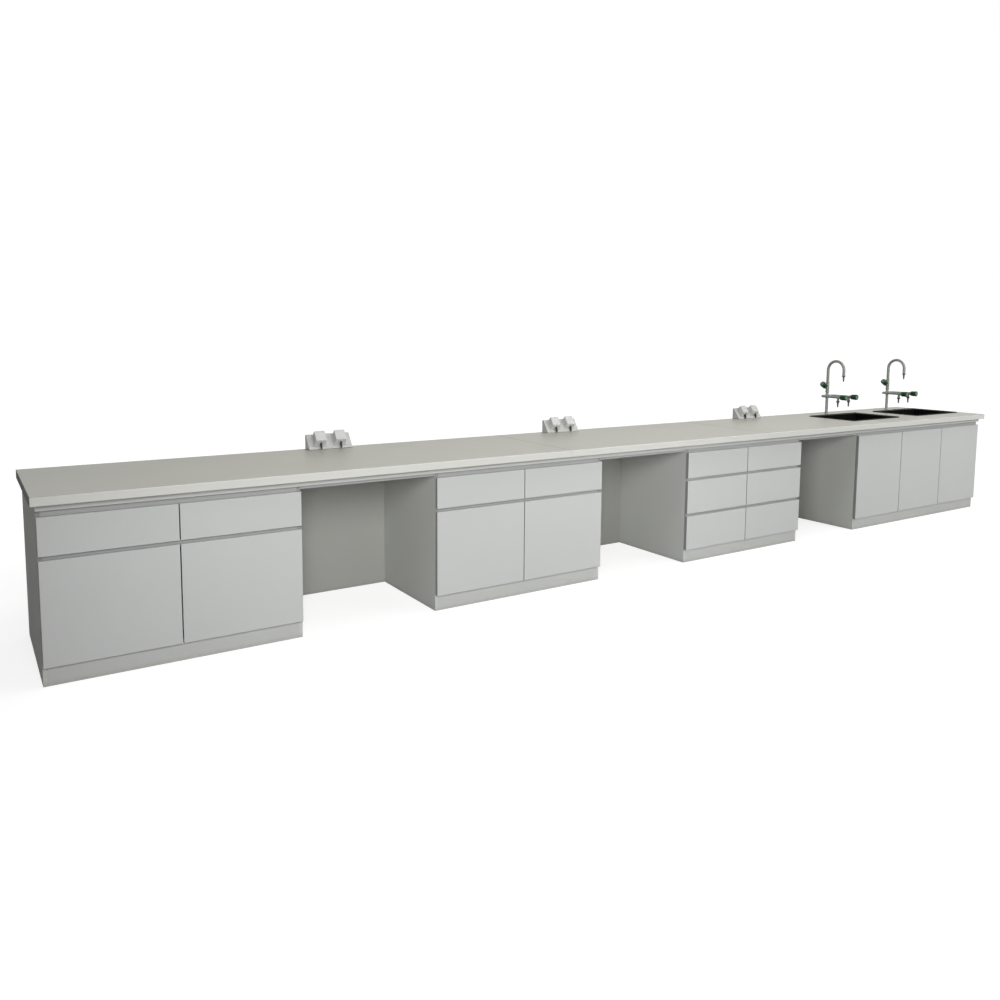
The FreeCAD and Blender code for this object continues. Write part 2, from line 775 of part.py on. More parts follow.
def make_doors():
    """The seven doors with their cups and pins, and the hinge arms on the carcass."""
    hinge = make_hinge_pieces()
    arms = []
    for item in DOORS:
        turn = ("y", 180) if item.on_right else None
        places = [(item.edge, front_back, level) for level in item.levels]
        bores = [group("door_bore", [hinge.bore], turn=turn, at=at) for at in places]
        panel = cut("door_panel", block("door_board", (item.x0, front_face, item.low),
                                        (item.x1, front_back, item.high)), bores)
        hardware = [group("door_hinge", [hinge.cup, hinge.pin], turn=turn, at=at) for at in places]
        node(item.name, [panel] + hardware)
        arms += [group("carcass_hinge", [hinge.arm], turn=turn, at=at) for at in places]
    node("hinge_arms", arms)


def make_sink():
    """One moulded sink about the middle of its rim, whose underside lies on the worktop."""
    body = new_body("sink_body")
    half_x, half_y = size.sink_length / 2, size.sink_width / 2
    rim, radius = size.sink_rim_width, size.sink_bowl_corner_radius
    lip, draft = size.sink_lip_width, size.sink_bowl_draft
    wall, depth = size.sink_wall, size.sink_bowl_depth
    rim_plan = sketch(body, "sink_rim", "XY_Plane")
    rounded_rectangle(rim_plan, half_x, half_y, size.sink_corner_radius)
    pad(body, rim_plan, size.sink_rim_height)
    mouth = sketch(body, "sink_outer_mouth", "XY_Plane")
    rounded_rectangle(mouth, half_x - rim, half_y - rim, radius)
    base = sketch(body, "sink_outer_base", "XY_Plane", offset=-depth)
    rounded_rectangle(base, half_x - rim - draft, half_y - rim - draft, radius)
    loft(body, "AdditiveLoft", "sink_outside", mouth, [base])
    inset = rim + wall
    opening = sketch(body, "sink_inner_mouth", "XY_Plane", offset=size.sink_rim_height + size.cut_overrun)
    rounded_rectangle(opening, half_x - inset, half_y - inset, radius - wall)
    bottom = sketch(body, "sink_inner_base", "XY_Plane", offset=wall - depth)
    rounded_rectangle(bottom, half_x - inset - draft, half_y - inset - draft, radius - wall)
    loft(body, "SubtractiveLoft", "sink_inside", opening, [bottom])
    ledge = sketch(body, "sink_ledge", "XY_Plane", offset=size.sink_rim_height - size.sink_lip_height)
    rounded_rectangle(ledge, half_x - lip, half_y - lip, size.sink_corner_radius - lip / 2)
    pocket(body, ledge, size.sink_lip_height + size.cut_overrun, reverse=True)
    drain = sketch(body, "sink_drain", "XY_Plane", offset=-depth)
    round_hole(drain, ZERO, ZERO, size.waste_radius + size.waste_hole_clearance)
    pocket(body, drain, wall + size.cut_overrun, reverse=True)
    return body


def make_waste():
    """Strainer waste, nut and bottle trap of one sink, about the middle of the sink's rim."""
    overrun = size.cut_overrun
    bowl_floor = size.sink_wall - size.sink_bowl_depth
    underside_level = -size.sink_bowl_depth
    tail_end = underside_level - size.waste_tail
    tube = rod("waste_tube", size.waste_radius, bowl_floor - tail_end, (ZERO, ZERO, tail_end))
    flange = rod("waste_flange", size.waste_flange_radius, size.waste_flange_height, (ZERO, ZERO, bowl_floor))
    cuts = [rod("waste_bore", size.waste_bore_radius, bowl_floor - tail_end + overrun,
                (ZERO, ZERO, tail_end - overrun))]
    for count in range(WASTE_SLOTS):
        angle = 2 * pi * count / WASTE_SLOTS
        cuts.append(rod("waste_slot", size.waste_slot_radius, size.waste_flange_height + overrun * 2,
                        (size.waste_slot_circle * cos(angle), size.waste_slot_circle * sin(angle),
                         bowl_floor - overrun)))
    waste = cut("waste", fuse("waste_body", [flange, tube]), cuts)
    fit = size.waste_radius + size.waste_hole_clearance
    nut_start = underside_level - size.waste_nut_height
    nut = cut("waste_nut", rod("waste_nut_body", size.waste_nut_radius, size.waste_nut_height,
                               (ZERO, ZERO, nut_start)),
              [rod("waste_nut_bore", fit, size.waste_nut_height + overrun * 2,
                   (ZERO, ZERO, nut_start - overrun))])
    trap_top = tail_end + size.trap_inlet_depth
    trap_bottom = trap_top - size.trap_height
    outlet_level = trap_top - size.trap_outlet_drop
    bottle = rod("trap_bottle", size.trap_radius, size.trap_height, (ZERO, ZERO, trap_bottom))
    outlet = rod("trap_outlet", size.trap_outlet_radius, size.trap_outlet_reach,
                 (ZERO, ZERO, outlet_level), turn=("x", -90))
    inlet = rod("trap_inlet", fit, size.trap_inlet_depth + overrun, (ZERO, ZERO, tail_end))
    spigot = rod("trap_spigot", size.trap_spigot_radius, size.trap_outlet_reach + size.trap_spigot_length,
                 (ZERO, ZERO, outlet_level), turn=("x", -90))
    trap = cut("trap", fuse("trap_body", [bottle, outlet, spigot]), [inlet])
    return [waste, nut, trap]


def make_sinks():
    sink = make_sink()
    waste = make_waste()
    node("sinks", [group("sink", [sink], at=(x, sink_y, top)) for x in SINK_XS])
    node("sink_wastes", [group("sink_waste", waste, at=(x, sink_y, top)) for x in SINK_XS])


def nozzle(name, level, x=ZERO, y=ZERO):
    """A ribbed hose nozzle that hangs from a level, with its collar at the top and a bore through it."""
    collar = rod(f"{name}_collar", size.tap_nozzle_collar_radius, size.tap_nozzle_collar_height,
                 (x, y, level - size.tap_nozzle_collar_height))
    root, tip = size.tap_nozzle_root_radius, size.tap_nozzle_tip_radius
    step = size.tap_nozzle_length / NOZZLE_RIBS
    members = [collar]
    for count in range(NOZZLE_RIBS):
        wide = root + (tip - root) * count / NOZZLE_RIBS
        foot = level - size.tap_nozzle_collar_height - step * (count + 1)
        members.append(cone(f"{name}_rib", (wide - size.tap_rib_depth, wide), step, (x, y, foot)))
    end = level - size.tap_nozzle_collar_height - size.tap_nozzle_length
    bore = rod(f"{name}_bore", size.tap_nozzle_bore_radius, level - end + size.cut_overrun * 2,
               (x, y, end - size.cut_overrun))
    return cut(name, fuse(f"{name}_body", members), [bore])


def make_tap_column():
    """The column with its shank through the worktop, and the lock nut below."""
    shank_end = -size.worktop_thickness - size.tap_shank_tail
    tee_bottom = size.tap_arm_height - size.tap_tee_height / 2
    column = fuse("tap_column", [
        rod("tap_inlet", size.tap_inlet_radius, size.tap_inlet_length - shank_end,
            (ZERO, ZERO, shank_end - size.tap_inlet_length)),
        rod("tap_shank", size.tap_shank_radius, -shank_end, (ZERO, ZERO, shank_end)),
        rod("tap_flange", size.tap_flange_radius, size.tap_flange_height),
        rod("tap_tube", size.tap_column_radius, tee_bottom),
    ])
    nut_start = -size.worktop_thickness - size.tap_nut_height
    nut = cut("tap_nut", rod("tap_nut_body", size.tap_nut_radius, size.tap_nut_height, (ZERO, ZERO, nut_start)),
              [rod("tap_nut_bore", size.tap_shank_radius, size.tap_nut_height + size.cut_overrun * 2,
                   (ZERO, ZERO, nut_start - size.cut_overrun))])
    return [column, nut]


def knob_axis(side):
    """The stem of a front knob: where it leaves the end of its valve arm, pointing to -Y."""
    return (size.tap_bar_half * side, -size.tap_arm_reach - size.tap_bonnet_start - size.tap_bonnet_length,
            size.tap_arm_height)


def make_tap_valves():
    """Cross bar with its two valve arms, upper valve body, and the two side nozzles."""
    level, radius, half = size.tap_arm_height, size.tap_arm_radius, size.tap_bar_half
    reach = size.tap_arm_reach
    tee_bottom = level - size.tap_tee_height / 2
    bonnet_y = -reach - size.tap_bonnet_start
    stem_room = size.tap_stem_radius + size.tap_stem_clearance
    members = [
        rod("tap_tee", size.tap_tee_radius, size.tap_tee_height, (ZERO, ZERO, tee_bottom)),
        rod("tap_neck", size.tap_column_radius, size.tap_collar_level - level, (ZERO, ZERO, level)),
        rod("tap_bar", radius, half * 2, (-half, ZERO, level), turn=("y", 90)),
    ]
    stem_holes = []
    nozzles = []
    for side in (-1, 1):
        members.append(ball("tap_elbow", radius, (half * side, ZERO, level)))
        members.append(rod("tap_arm", radius, reach + size.tap_bonnet_start + size.cut_overrun,
                           (half * side, ZERO, level), turn=("x", 90)))
        members.append(rod("tap_bonnet", size.tap_bonnet_radius, size.tap_bonnet_length,
                           (half * side, bonnet_y, level), turn=("x", 90)))
        members.append(rod("tap_outlet", size.tap_outlet_radius, size.tap_outlet_drop,
                           (half * side, -reach, level - size.tap_outlet_drop)))
        x, y, z = knob_axis(side)
        stem_holes.append(rod("tap_stem_hole", stem_room, size.tap_stem_length + size.cut_overrun,
                              (x, y + size.tap_stem_length, z), turn=("x", 90)))
        nozzles.append(nozzle("side_nozzle", level - size.tap_outlet_drop, half * side, -reach))
    cross = cut("tap_cross", fuse("tap_cross_body", members), stem_holes)
    collar = rod("tap_collar", size.tap_collar_radius, size.tap_collar_height,
                 (ZERO, ZERO, size.tap_collar_level))
    body_start = size.tap_collar_level + size.tap_collar_height
    barrel = rod("tap_barrel", size.tap_upper_radius, size.tap_upper_top - body_start, (ZERO, ZERO, body_start))
    boss = group("tap_boss", [rod("tap_boss_rod", size.tap_bonnet_radius, size.tap_knob_stem)],
                 turn=("y", upper_knob_turn()), at=(ZERO, ZERO, size.tap_knob_level))
    upper_hole = group("tap_upper_hole", [
        rod("tap_upper_hole_rod", stem_room, size.tap_stem_length + size.cut_overrun,
            (ZERO, ZERO, size.tap_knob_stem - size.tap_stem_length)),
    ], turn=("y", upper_knob_turn()), at=(ZERO, ZERO, size.tap_knob_level))
    spout_hole = rod("spout_hole", size.spout_radius + size.spout_clearance,
                     size.spout_socket_depth + size.cut_overrun,
                     (ZERO, ZERO, size.tap_upper_top - size.spout_socket_depth))
    upper = cut("tap_upper", fuse("tap_upper_body", [collar, barrel, boss]), [upper_hole, spout_hole])
    return [cross, upper] + nozzles


def upper_knob_turn():
    """The turn about Y that lays an upright axis up and to the left, at the tilt of the upper knob."""
    return size.tap_knob_tilt - 90


def make_spout():
    """The gooseneck tube, from its seat in the upper valve body over to the nozzle in front."""
    bend = size.spout_reach / 2
    bend_level = size.spout_apex - bend
    start = size.tap_upper_top - size.spout_socket_depth + size.tap_running_gap
    overrun = size.cut_overrun

    def run(name, radius, past):
        arch = DOC.addObject("Part::Torus", f"{name}_arch")
        bind(arch, Radius1=bend, Radius2=radius)
        arch.Angle3 = 180
        turned = group(f"{name}_upright_arch", [arch], turn=("y", 90))
        upright = group(f"{name}_arch_place", [turned], turn=("x", 90), at=(ZERO, -bend, bend_level))
        rising = rod(f"{name}_rising", radius, bend_level - start + past, (ZERO, ZERO, start - past))
        falling = rod(f"{name}_falling", radius, bend_level - size.spout_end_level + past,
                      (ZERO, -size.spout_reach, size.spout_end_level - past))
        return [rising, upright, falling]

    collar = rod("spout_collar", size.spout_collar_radius, size.spout_collar_height,
                 (ZERO, ZERO, size.tap_upper_top + size.tap_running_gap))
    outside = fuse("spout_outside", run("spout_outer", size.spout_radius, ZERO) + [collar])
    tube = cut("spout_tube", outside, run("spout_inner", size.spout_bore_radius, overrun))
    return [tube, nozzle("spout_nozzle", size.spout_end_level, ZERO, -size.spout_reach)]


def make_knob():
    """A lobed knob on its stem: the axis is Z, and the knob's inner face is at the origin's level."""
    body = new_body("knob_body")
    profile = sketch(body, "knob_profile", "XZ_Plane")
    gap, edge = size.tap_running_gap, size.knob_edge
    end = size.knob_length + gap
    outline(profile, [
        (ZERO, gap - size.tap_stem_length + gap),
        (size.tap_stem_radius, gap - size.tap_stem_length + gap),
        (size.tap_stem_radius, gap),
        (size.knob_inner_radius, gap),
        (size.knob_outer_radius, end - edge),
        (size.knob_outer_radius - edge, end),
        (ZERO, end),
    ])
    turned = body.newObject("PartDesign::Revolution", "knob_turned")
    turned.Profile = profile
    turned.ReferenceAxis = (profile, ["V_Axis"])
    turned.Angle = 360
    near = size.knob_inner_radius + size.knob_flute_radius - size.knob_flute_depth
    far = size.knob_outer_radius + size.knob_flute_radius - size.knob_flute_depth
    start_plan = sketch(body, "knob_flute_start", "XY_Plane", offset=gap + size.knob_flute_draft)
    round_hole(start_plan, near, ZERO, size.knob_flute_radius)
    end_plan = sketch(body, "knob_flute_end", "XY_Plane", offset=end + size.cut_overrun)
    round_hole(end_plan, far, ZERO, size.knob_flute_radius)
    flute = loft(body, "SubtractiveLoft", "knob_flute", start_plan, [end_plan])
    pattern = body.newObject("PartDesign::PolarPattern", "knob_flutes")
    pattern.Originals = [flute]
    pattern.Axis = (start_plan, ["N_Axis"])
    pattern.Angle = 360
    pattern.Occurrences = KNOB_FLUTES
    body.Tip = pattern
    return body


def make_taps():
    """Both taps: their standing pieces together, and each spout and knob as a node of its own."""
    column = make_tap_column()
    valves = make_tap_valves()
    spout = make_spout()
    knob = make_knob()
    places = [(x, tap_y, top) for x in TAP_XS]
    node("tap_columns", [group("tap_column_place", column, at=at) for at in places])
    node("tap_valve_bodies", [group("tap_valves_place", valves, at=at) for at in places])
    upper_knob = group("upper_knob", [knob], at=(ZERO, ZERO, size.tap_knob_stem))
    for name, at in zip(("left_tap", "right_tap"), places):
        node(f"{name}_spout", spout, at=at)
        for side, label in ((-1, "left"), (1, "right")):
            spot = tuple(base + shift for base, shift in zip(at, knob_axis(side)))
            node(f"{name}_{label}_knob", [knob], turn=("x", 90), at=spot)
        x, y, z = at
        node(f"{name}_upper_knob", [upper_knob], turn=("y", upper_knob_turn()), at=(x, y, z + size.tap_knob_level))


# The slope of a socket pedestal's face, and the place of a socket plate's middle on it.
slope_run = size.socket_foot_depth - size.socket_top_depth
slope_turn = Term(f"atan2({size.socket_height.text}; {slope_run.text})",
                  degrees(atan2(size.socket_height.value, slope_run.value)))
slope_length = Term(f"hypot({size.socket_height.text}; {slope_run.text})",
                    hypot(size.socket_height.value, slope_run.value))
slope_reach = slope_length - size.socket_plate_margin - size.socket_plate_side / 2
slope_share = slope_reach / slope_length
SOCKET_PLATE_Y = back - size.socket_foot_depth + slope_run * slope_share
SOCKET_PLATE_Z = top + size.socket_height * slope_share
hinge_y = size.cover_length / 2 + size.cover_knuckle_reach
hinge_z = size.socket_plate_thickness + size.cover_knuckle_rise


def make_pedestal():
    """The hollow shell of one double socket, about the middle of its back edge on the worktop."""
    body = new_body("pedestal_body")
    foot, crest, high, wall = (size.socket_foot_depth, size.socket_top_depth, size.socket_height,
                               size.socket_wall)
    profile = sketch(body, "pedestal_profile", "YZ_Plane")
    outline(profile, [(-foot, ZERO), (ZERO, ZERO), (ZERO, high), (-crest, high)])
    pad(body, profile, size.socket_width, middle=True)
    hollow = sketch(body, "pedestal_hollow", "YZ_Plane")
    sloped_wall = wall * (slope_length / size.socket_height)
    overrun = size.cut_overrun
    lean = slope_run / size.socket_height
    ceiling = high - wall
    outline(hollow, [
        (-foot + sloped_wall - lean * overrun, -overrun), (-wall, -overrun), (-wall, ceiling),
        (-foot + sloped_wall + lean * ceiling, ceiling),
    ])
    pocket(body, hollow, size.socket_width - wall * 2, middle=True)
    return body


def make_socket_plate():
    """A socket plate with its well and contacts, about the middle of its seat on the sloped face.

    X runs along the bench, Y up the slope and Z out of it.
    """
    half, thick, overrun = size.socket_plate_side / 2, size.socket_plate_thickness, size.cut_overrun
    body_half = size.socket_body_side / 2
    ear_start = size.cover_knuckle_length / 2 + size.cover_ear_gap
    ear_end = ear_start + size.cover_ear_width
    knuckle = size.cover_knuckle_radius
    members = [
        block("plate", (-half, -half, ZERO), (half, half, thick)),
        block("plate_body", (-body_half, -body_half, -size.socket_body_depth), (body_half, body_half, ZERO)),
        rod("cover_pin", size.cover_pin_radius, ear_end * 2, (-ear_end, hinge_y, hinge_z), turn=("y", 90)),
    ]
    for x in (-ear_end, ear_start):
        members.append(block("plate_ear", (x, hinge_y - knuckle / 2, ZERO),
                             (x + size.cover_ear_width, hinge_y + knuckle / 2, hinge_z + knuckle / 2)))
    cuts = [rod("plate_well", size.socket_well_radius, size.socket_well_depth + overrun,
                (ZERO, ZERO, thick - size.socket_well_depth))]
    for side in (-1, 1):
        cuts.append(rod("plate_contact", size.socket_pin_radius, size.socket_body_depth + overrun * 2,
                        (size.socket_pin_pitch / 2 * side, ZERO, -size.socket_body_depth - overrun)))
    return cut("socket_plate", fuse("socket_plate_body", members), cuts)


def make_cover():
    """A flip cover over one socket plate, in the plate's frame: a leaning hood, its knuckle and its tab."""
    body = new_body("cover_body")
    start = size.socket_plate_thickness + size.cover_gap
    end = size.socket_plate_thickness + size.cover_height
    half_x, half_y = size.cover_width / 2, size.cover_length / 2
    wall, overrun = size.cover_wall, size.cut_overrun
    side, lean, chin = size.cover_side_draft, size.cover_top_lean, size.cover_chin_draft
    rim = sketch(body, "cover_rim", "XY_Plane", offset=start)
    rectangle(rim, (-half_x, -half_y), (half_x, half_y))
    face = sketch(body, "cover_face", "XY_Plane", offset=end)
    rectangle(face, (side - half_x, chin - half_y), (half_x - side, half_y + lean))
    loft(body, "AdditiveLoft", "cover_hood", rim, [face])
    inner_rim = sketch(body, "cover_inner_rim", "XY_Plane", offset=start)
    rectangle(inner_rim, (wall - half_x, wall - half_y), (half_x - wall, half_y - wall))
    inner_face = sketch(body, "cover_inner_face", "XY_Plane", offset=end - wall)
    rectangle(inner_face, (side + wall - half_x, chin + wall - half_y),
              (half_x - side - wall, half_y + lean - wall))
    loft(body, "SubtractiveLoft", "cover_inside", inner_rim, [inner_face])
    knuckle_half = size.cover_knuckle_length / 2
    knuckle = rod("cover_knuckle", size.cover_knuckle_radius, size.cover_knuckle_length,
                  (-knuckle_half, hinge_y, hinge_z), turn=("y", 90))
    web = block("cover_web", (-knuckle_half, half_y - wall / 4, start), (knuckle_half, hinge_y, hinge_z))
    pin_hole = rod("cover_pin_hole", size.cover_pin_radius + size.cover_pin_clearance,
                   size.cover_knuckle_length + overrun * 2, (-knuckle_half - overrun, hinge_y, hinge_z),
                   turn=("y", 90))
    cover = cut("cover", fuse("cover_with_knuckle", [body, web, knuckle]), [pin_hole])
    return [cover, make_cover_tab(start, end)]


def make_cover_tab(start, end):
    """The pull tab under a cover: it lies on the cover's chin and reaches down to the foot of the slope."""
    body = new_body("cover_tab_body")
    profile = sketch(body, "cover_tab_profile", "YZ_Plane")
    half_y, share, thick = size.cover_length / 2, size.cover_tab_rise_share, size.cover_tab_thickness
    chin_y = size.cover_chin_draft * share - half_y
    chin_z = start + (end - start) * share
    foot_y = size.cover_tab_foot_gap - slope_reach
    outline(profile, [
        (-half_y, start), (chin_y, chin_z), (chin_y - thick, chin_z), (foot_y, start + thick), (foot_y, start),
    ])
    pad(body, profile, size.cover_tab_width, middle=True)
    return body


def make_sockets():
    """Three double sockets along the back edge, with a flip cover over each plate."""
    shell = make_pedestal()
    plate = make_socket_plate()
    cover = make_cover()
    room = size.socket_body_side / 2 + size.socket_body_clearance
    room_depth = size.socket_body_depth + size.cut_overrun
    standing, plates = [], []
    for name, x in zip(("left", "middle", "right"), SOCKET_XS):
        seats = [("left", x - size.socket_pitch / 2), ("right", x + size.socket_pitch / 2)]
        holes = []
        for label, seat_x in seats:
            hole = block("plate_room", (-room, -room, -room_depth), (room, room, size.cut_overrun))
            at = (seat_x, SOCKET_PLATE_Y, SOCKET_PLATE_Z)
            holes.append(group("plate_room_place", [hole], turn=("x", slope_turn), at=at))
            plates.append(group("plate_place", [plate], turn=("x", slope_turn), at=at))
            node(f"{name}_socket_{label}_cover", cover, turn=("x", slope_turn), at=at)
        standing.append(cut("pedestal", group("pedestal_place", [shell], at=(x, back, top)), holes))
    node("socket_pedestals", standing)
    node("socket_plates", plates)


def check_model():
    """Stops the build if any object failed, or if a sub-part has no sound solid."""
    for item in DOC.Objects:
        if "Invalid" in item.State or "Error" in item.State:
            raise RuntimeError(f"{item.Name} ({item.Label}) failed: {item.State} {item.getStatusString()}")
    for item in NODES:
        if item.Shape.isNull() or not item.Shape.isValid() or not item.Shape.Solids:
            raise RuntimeError(f"{item.Label} has no sound shape")


def write_parts():
    os.makedirs("parts", exist_ok=True)
    for item in NODES:
        item.Shape.exportStep(f"parts/{item.Label}.step")


make_worktop()
make_fascia()
make_carcasses()
make_knee_spaces()
make_drawers()
make_doors()
make_sinks()
make_taps()
make_sockets()
DOC.recompute()
check_model()
write_parts()
print(f"{len(NODES)} sub-parts, bench {bench_length.value:.0f} mm long")
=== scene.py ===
"""A wall workbench with two sinks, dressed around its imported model.

All lengths are metres, apart from the turned profiles, which are written in millimetres. The frame is that of
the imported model: +X along the bench to the sinks, +Y to the wall, +Z up.
"""

import json
import logging
import math
from collections import Counter
from collections.abc import Callable, Iterable, Sequence
from dataclasses import dataclass, field
from enum import Enum
from typing import Any

import bmesh
import bpy
from mathutils import Matrix, Vector

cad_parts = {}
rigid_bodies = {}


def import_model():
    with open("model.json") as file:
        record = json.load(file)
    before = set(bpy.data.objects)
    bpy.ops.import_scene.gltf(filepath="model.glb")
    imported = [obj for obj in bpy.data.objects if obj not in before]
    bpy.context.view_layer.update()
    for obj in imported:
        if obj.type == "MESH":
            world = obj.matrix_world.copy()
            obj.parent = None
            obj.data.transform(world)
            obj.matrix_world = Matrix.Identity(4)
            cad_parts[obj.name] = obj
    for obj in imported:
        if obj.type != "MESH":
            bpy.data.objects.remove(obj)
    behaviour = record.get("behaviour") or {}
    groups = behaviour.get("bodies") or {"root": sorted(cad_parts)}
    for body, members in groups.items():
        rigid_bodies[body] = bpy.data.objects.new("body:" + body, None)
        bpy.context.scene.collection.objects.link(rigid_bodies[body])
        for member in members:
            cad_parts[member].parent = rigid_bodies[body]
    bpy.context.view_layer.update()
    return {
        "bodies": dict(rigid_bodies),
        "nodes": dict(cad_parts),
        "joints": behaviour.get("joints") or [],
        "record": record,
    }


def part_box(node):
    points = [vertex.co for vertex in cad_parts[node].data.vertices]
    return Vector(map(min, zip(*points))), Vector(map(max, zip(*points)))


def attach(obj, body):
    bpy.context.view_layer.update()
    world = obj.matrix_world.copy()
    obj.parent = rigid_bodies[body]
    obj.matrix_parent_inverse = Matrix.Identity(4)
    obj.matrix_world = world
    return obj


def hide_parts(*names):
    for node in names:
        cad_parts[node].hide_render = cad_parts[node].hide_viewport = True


LOG = logging.getLogger("bench")
ROOT = "bench"
MM = 0.001
ROUNDING_SHARE = 0.48
WHITE = (1.0, 1.0, 1.0, 1.0)

Colour = tuple[float, float, float]
Place = tuple[float, float, float]
Ring = list[Vector]
Profile = list[tuple[float, float]]


class Side(Enum):
    """The left or the right one of a pair, as a sign along X."""

    LEFT = -1
    RIGHT = 1


def operator(operation: str, swapped: bool = False) -> Callable[["Wire", Any], "Wire"]:
    """An arithmetic method of Wire, for a wire on the left of the sign or, swapped, on its right."""
    def method(wire: "Wire", other: Any) -> "Wire":
        """Adds the Math node."""
        return wire.math(operation, *((other, wire) if swapped else (wire, other)))

    return method


class Wire:
    """An output socket of a node tree, whose arithmetic adds Math nodes."""

    def __init__(self, tree: bpy.types.NodeTree, socket: bpy.types.NodeSocket) -> None:
        """Holds a socket and the tree that it belongs to."""
        self.tree = tree
        self.socket = socket

    def math(self, operation: str, *values: Any) -> "Wire":
        """Adds one Math node.

        Args:
            operation: the node's operation.
            values: wires or numbers for its inputs, in order.

        Returns:
            The node's result.
        """
        node = self.tree.nodes.new("ShaderNodeMath")
        node.operation = operation
        for slot, value in zip(node.inputs, values):
            if isinstance(value, Wire):
                self.tree.links.new(value.socket, slot)
            else:
                slot.default_value = value
        return Wire(self.tree, node.outputs[0])

    __add__ = __radd__ = operator("ADD")
    __sub__ = operator("SUBTRACT")
    __rsub__ = operator("SUBTRACT", swapped=True)
    __mul__ = __rmul__ = operator("MULTIPLY")
    __truediv__ = operator("DIVIDE")
    __pow__ = operator("POWER")

    def below(self, limit: float, soft: float) -> "Wire":
        """A mask that is 1 under a limit and fades to 0 over a soft edge above it."""
        return self.math("MAXIMUM", self.math("MINIMUM", (limit + soft - self) / soft, 1.0), 0.0)


@dataclass
class Graph:
    """A node tree in the making."""

    tree: bpy.types.NodeTree

    @classmethod
    def start(cls, owner: bpy.types.Material | bpy.types.World) -> "Graph":
        """Empties the node tree of a material or a world and starts on it."""
        owner.use_nodes = True
        owner.node_tree.nodes.clear()
        return cls(owner.node_tree)

    def end(self, output: str, shader: Wire) -> None:
        """Links a shader to a new output node of a kind."""
        node = self.tree.nodes.new(output)
        self.tree.links.new(shader.socket, node.inputs["Surface"])

    def add(self, kind: str, settings: dict[str, Any] | None = None,
            sockets: dict[str | int, Any] | None = None, out: str | int = 0) -> Wire:
        """Adds a node.

        Args:
            kind: the node's type.
            settings: attributes that are set first; stops are a colour ramp's places and colours.
            sockets: values or wires for the inputs, by name or by number.
            out: the output to return, by name or by number.

        Returns:
            The chosen output.
        """
        node = self.tree.nodes.new(kind)
        for name, value in (settings or {}).items():
            if name == "stops":
                self.set_stops(node, value)
            else:
                setattr(node, name, value)
        for name, value in (sockets or {}).items():
            if isinstance(value, Wire):
                self.tree.links.new(value.socket, node.inputs[name])
            else:
                node.inputs[name].default_value = value
        return Wire(self.tree, node.outputs[out])

    @staticmethod
    def set_stops(node: bpy.types.Node, stops: Sequence[tuple[float, float]]) -> None:
        """Sets a colour ramp's stops from places and grey levels."""
        elements = node.color_ramp.elements
        while len(elements) < len(stops):
            elements.new(1.0)
        for element, (place, level) in zip(elements, stops):
            element.position = place
            element.color = (level, level, level, 1.0)

    def shape(self, kind: str, **sockets: Any) -> Wire:
        """Adds a geometry node; an underscore in the name of a socket stands for a blank."""
        named = {name.replace("_", " "): value for name, value in sockets.items()}
        return self.add(f"GeometryNode{kind}", sockets=named)

    def vector(self, **parts: Any) -> Wire:
        """A vector of the parts X, Y and Z, where those left out are zero."""
        return self.add("ShaderNodeCombineXYZ", sockets=parts)

    def place(self) -> Wire:
        """The Object coordinates of the surface."""
        return self.add("ShaderNodeTexCoord", out="Object")

    def axis(self, vector: Wire, name: str) -> Wire:
        """One component of a vector, X, Y or Z."""
        return self.add("ShaderNodeSeparateXYZ", sockets={0: vector}, out=name)

    def noise(self, vector: Wire, scale: float, detail: float = 2.0,
              stretch: Sequence[float] = (1.0, 1.0, 1.0)) -> Wire:
        """A noise from 0 to 1 over the surface, stretched along the axes."""
        mapped = self.add("ShaderNodeMapping", sockets={"Vector": vector, "Scale": stretch})
        return self.add("ShaderNodeTexNoise", sockets={"Vector": mapped, "Scale": scale, "Detail": detail})

    def ramp(self, value: Wire, stops: Sequence[tuple[float, float]]) -> Wire:
        """A value passed through a ramp of grey levels."""
        return self.add("ShaderNodeValToRGB", {"stops": stops}, {"Fac": value})

    def mix(self, factor: Any, first: Any, second: Any) -> Wire:
        """A colour between two colours or wires of colours."""
        def full(value: Any) -> Any:
            """A wire as it is, or a colour with its alpha."""
            return value if isinstance(value, Wire) else (*value, 1.0)

        sides = {0: factor, 6: full(first), 7: full(second)}
        return self.add("ShaderNodeMix", {"data_type": "RGBA"}, sides, out=2)

    def group_join(self, parts: Sequence[Wire]) -> Wire:
        """Joins several geometries into one."""
        node = self.tree.nodes.new("GeometryNodeJoinGeometry")
        for part in parts:
            self.tree.links.new(part.socket, node.inputs[0])
        return Wire(self.tree, node.outputs[0])

    def seen_rays(self) -> Wire:
        """1 for rays that show the background, from the camera, mirrors and glass; 0 for the rest."""
        kinds = ("Camera", "Glossy", "Transmission")
        rays = [self.add("ShaderNodeLightPath", out=f"Is {kind} Ray") for kind in kinds]
        return rays[0].math("MINIMUM", rays[0] + rays[1] + rays[2], 1.0)

    def bump(self, height: Wire, strength: float, distance: float) -> Wire:
        """A normal bent by a height."""
        sockets = {"Height": height, "Strength": strength, "Distance": distance}
        return self.add("ShaderNodeBump", sockets=sockets)


def scaled(colour: Colour, factor: float) -> Colour:
    """A colour made lighter or darker by a factor."""
    return tuple(min(1.0, level * factor) for level in colour)


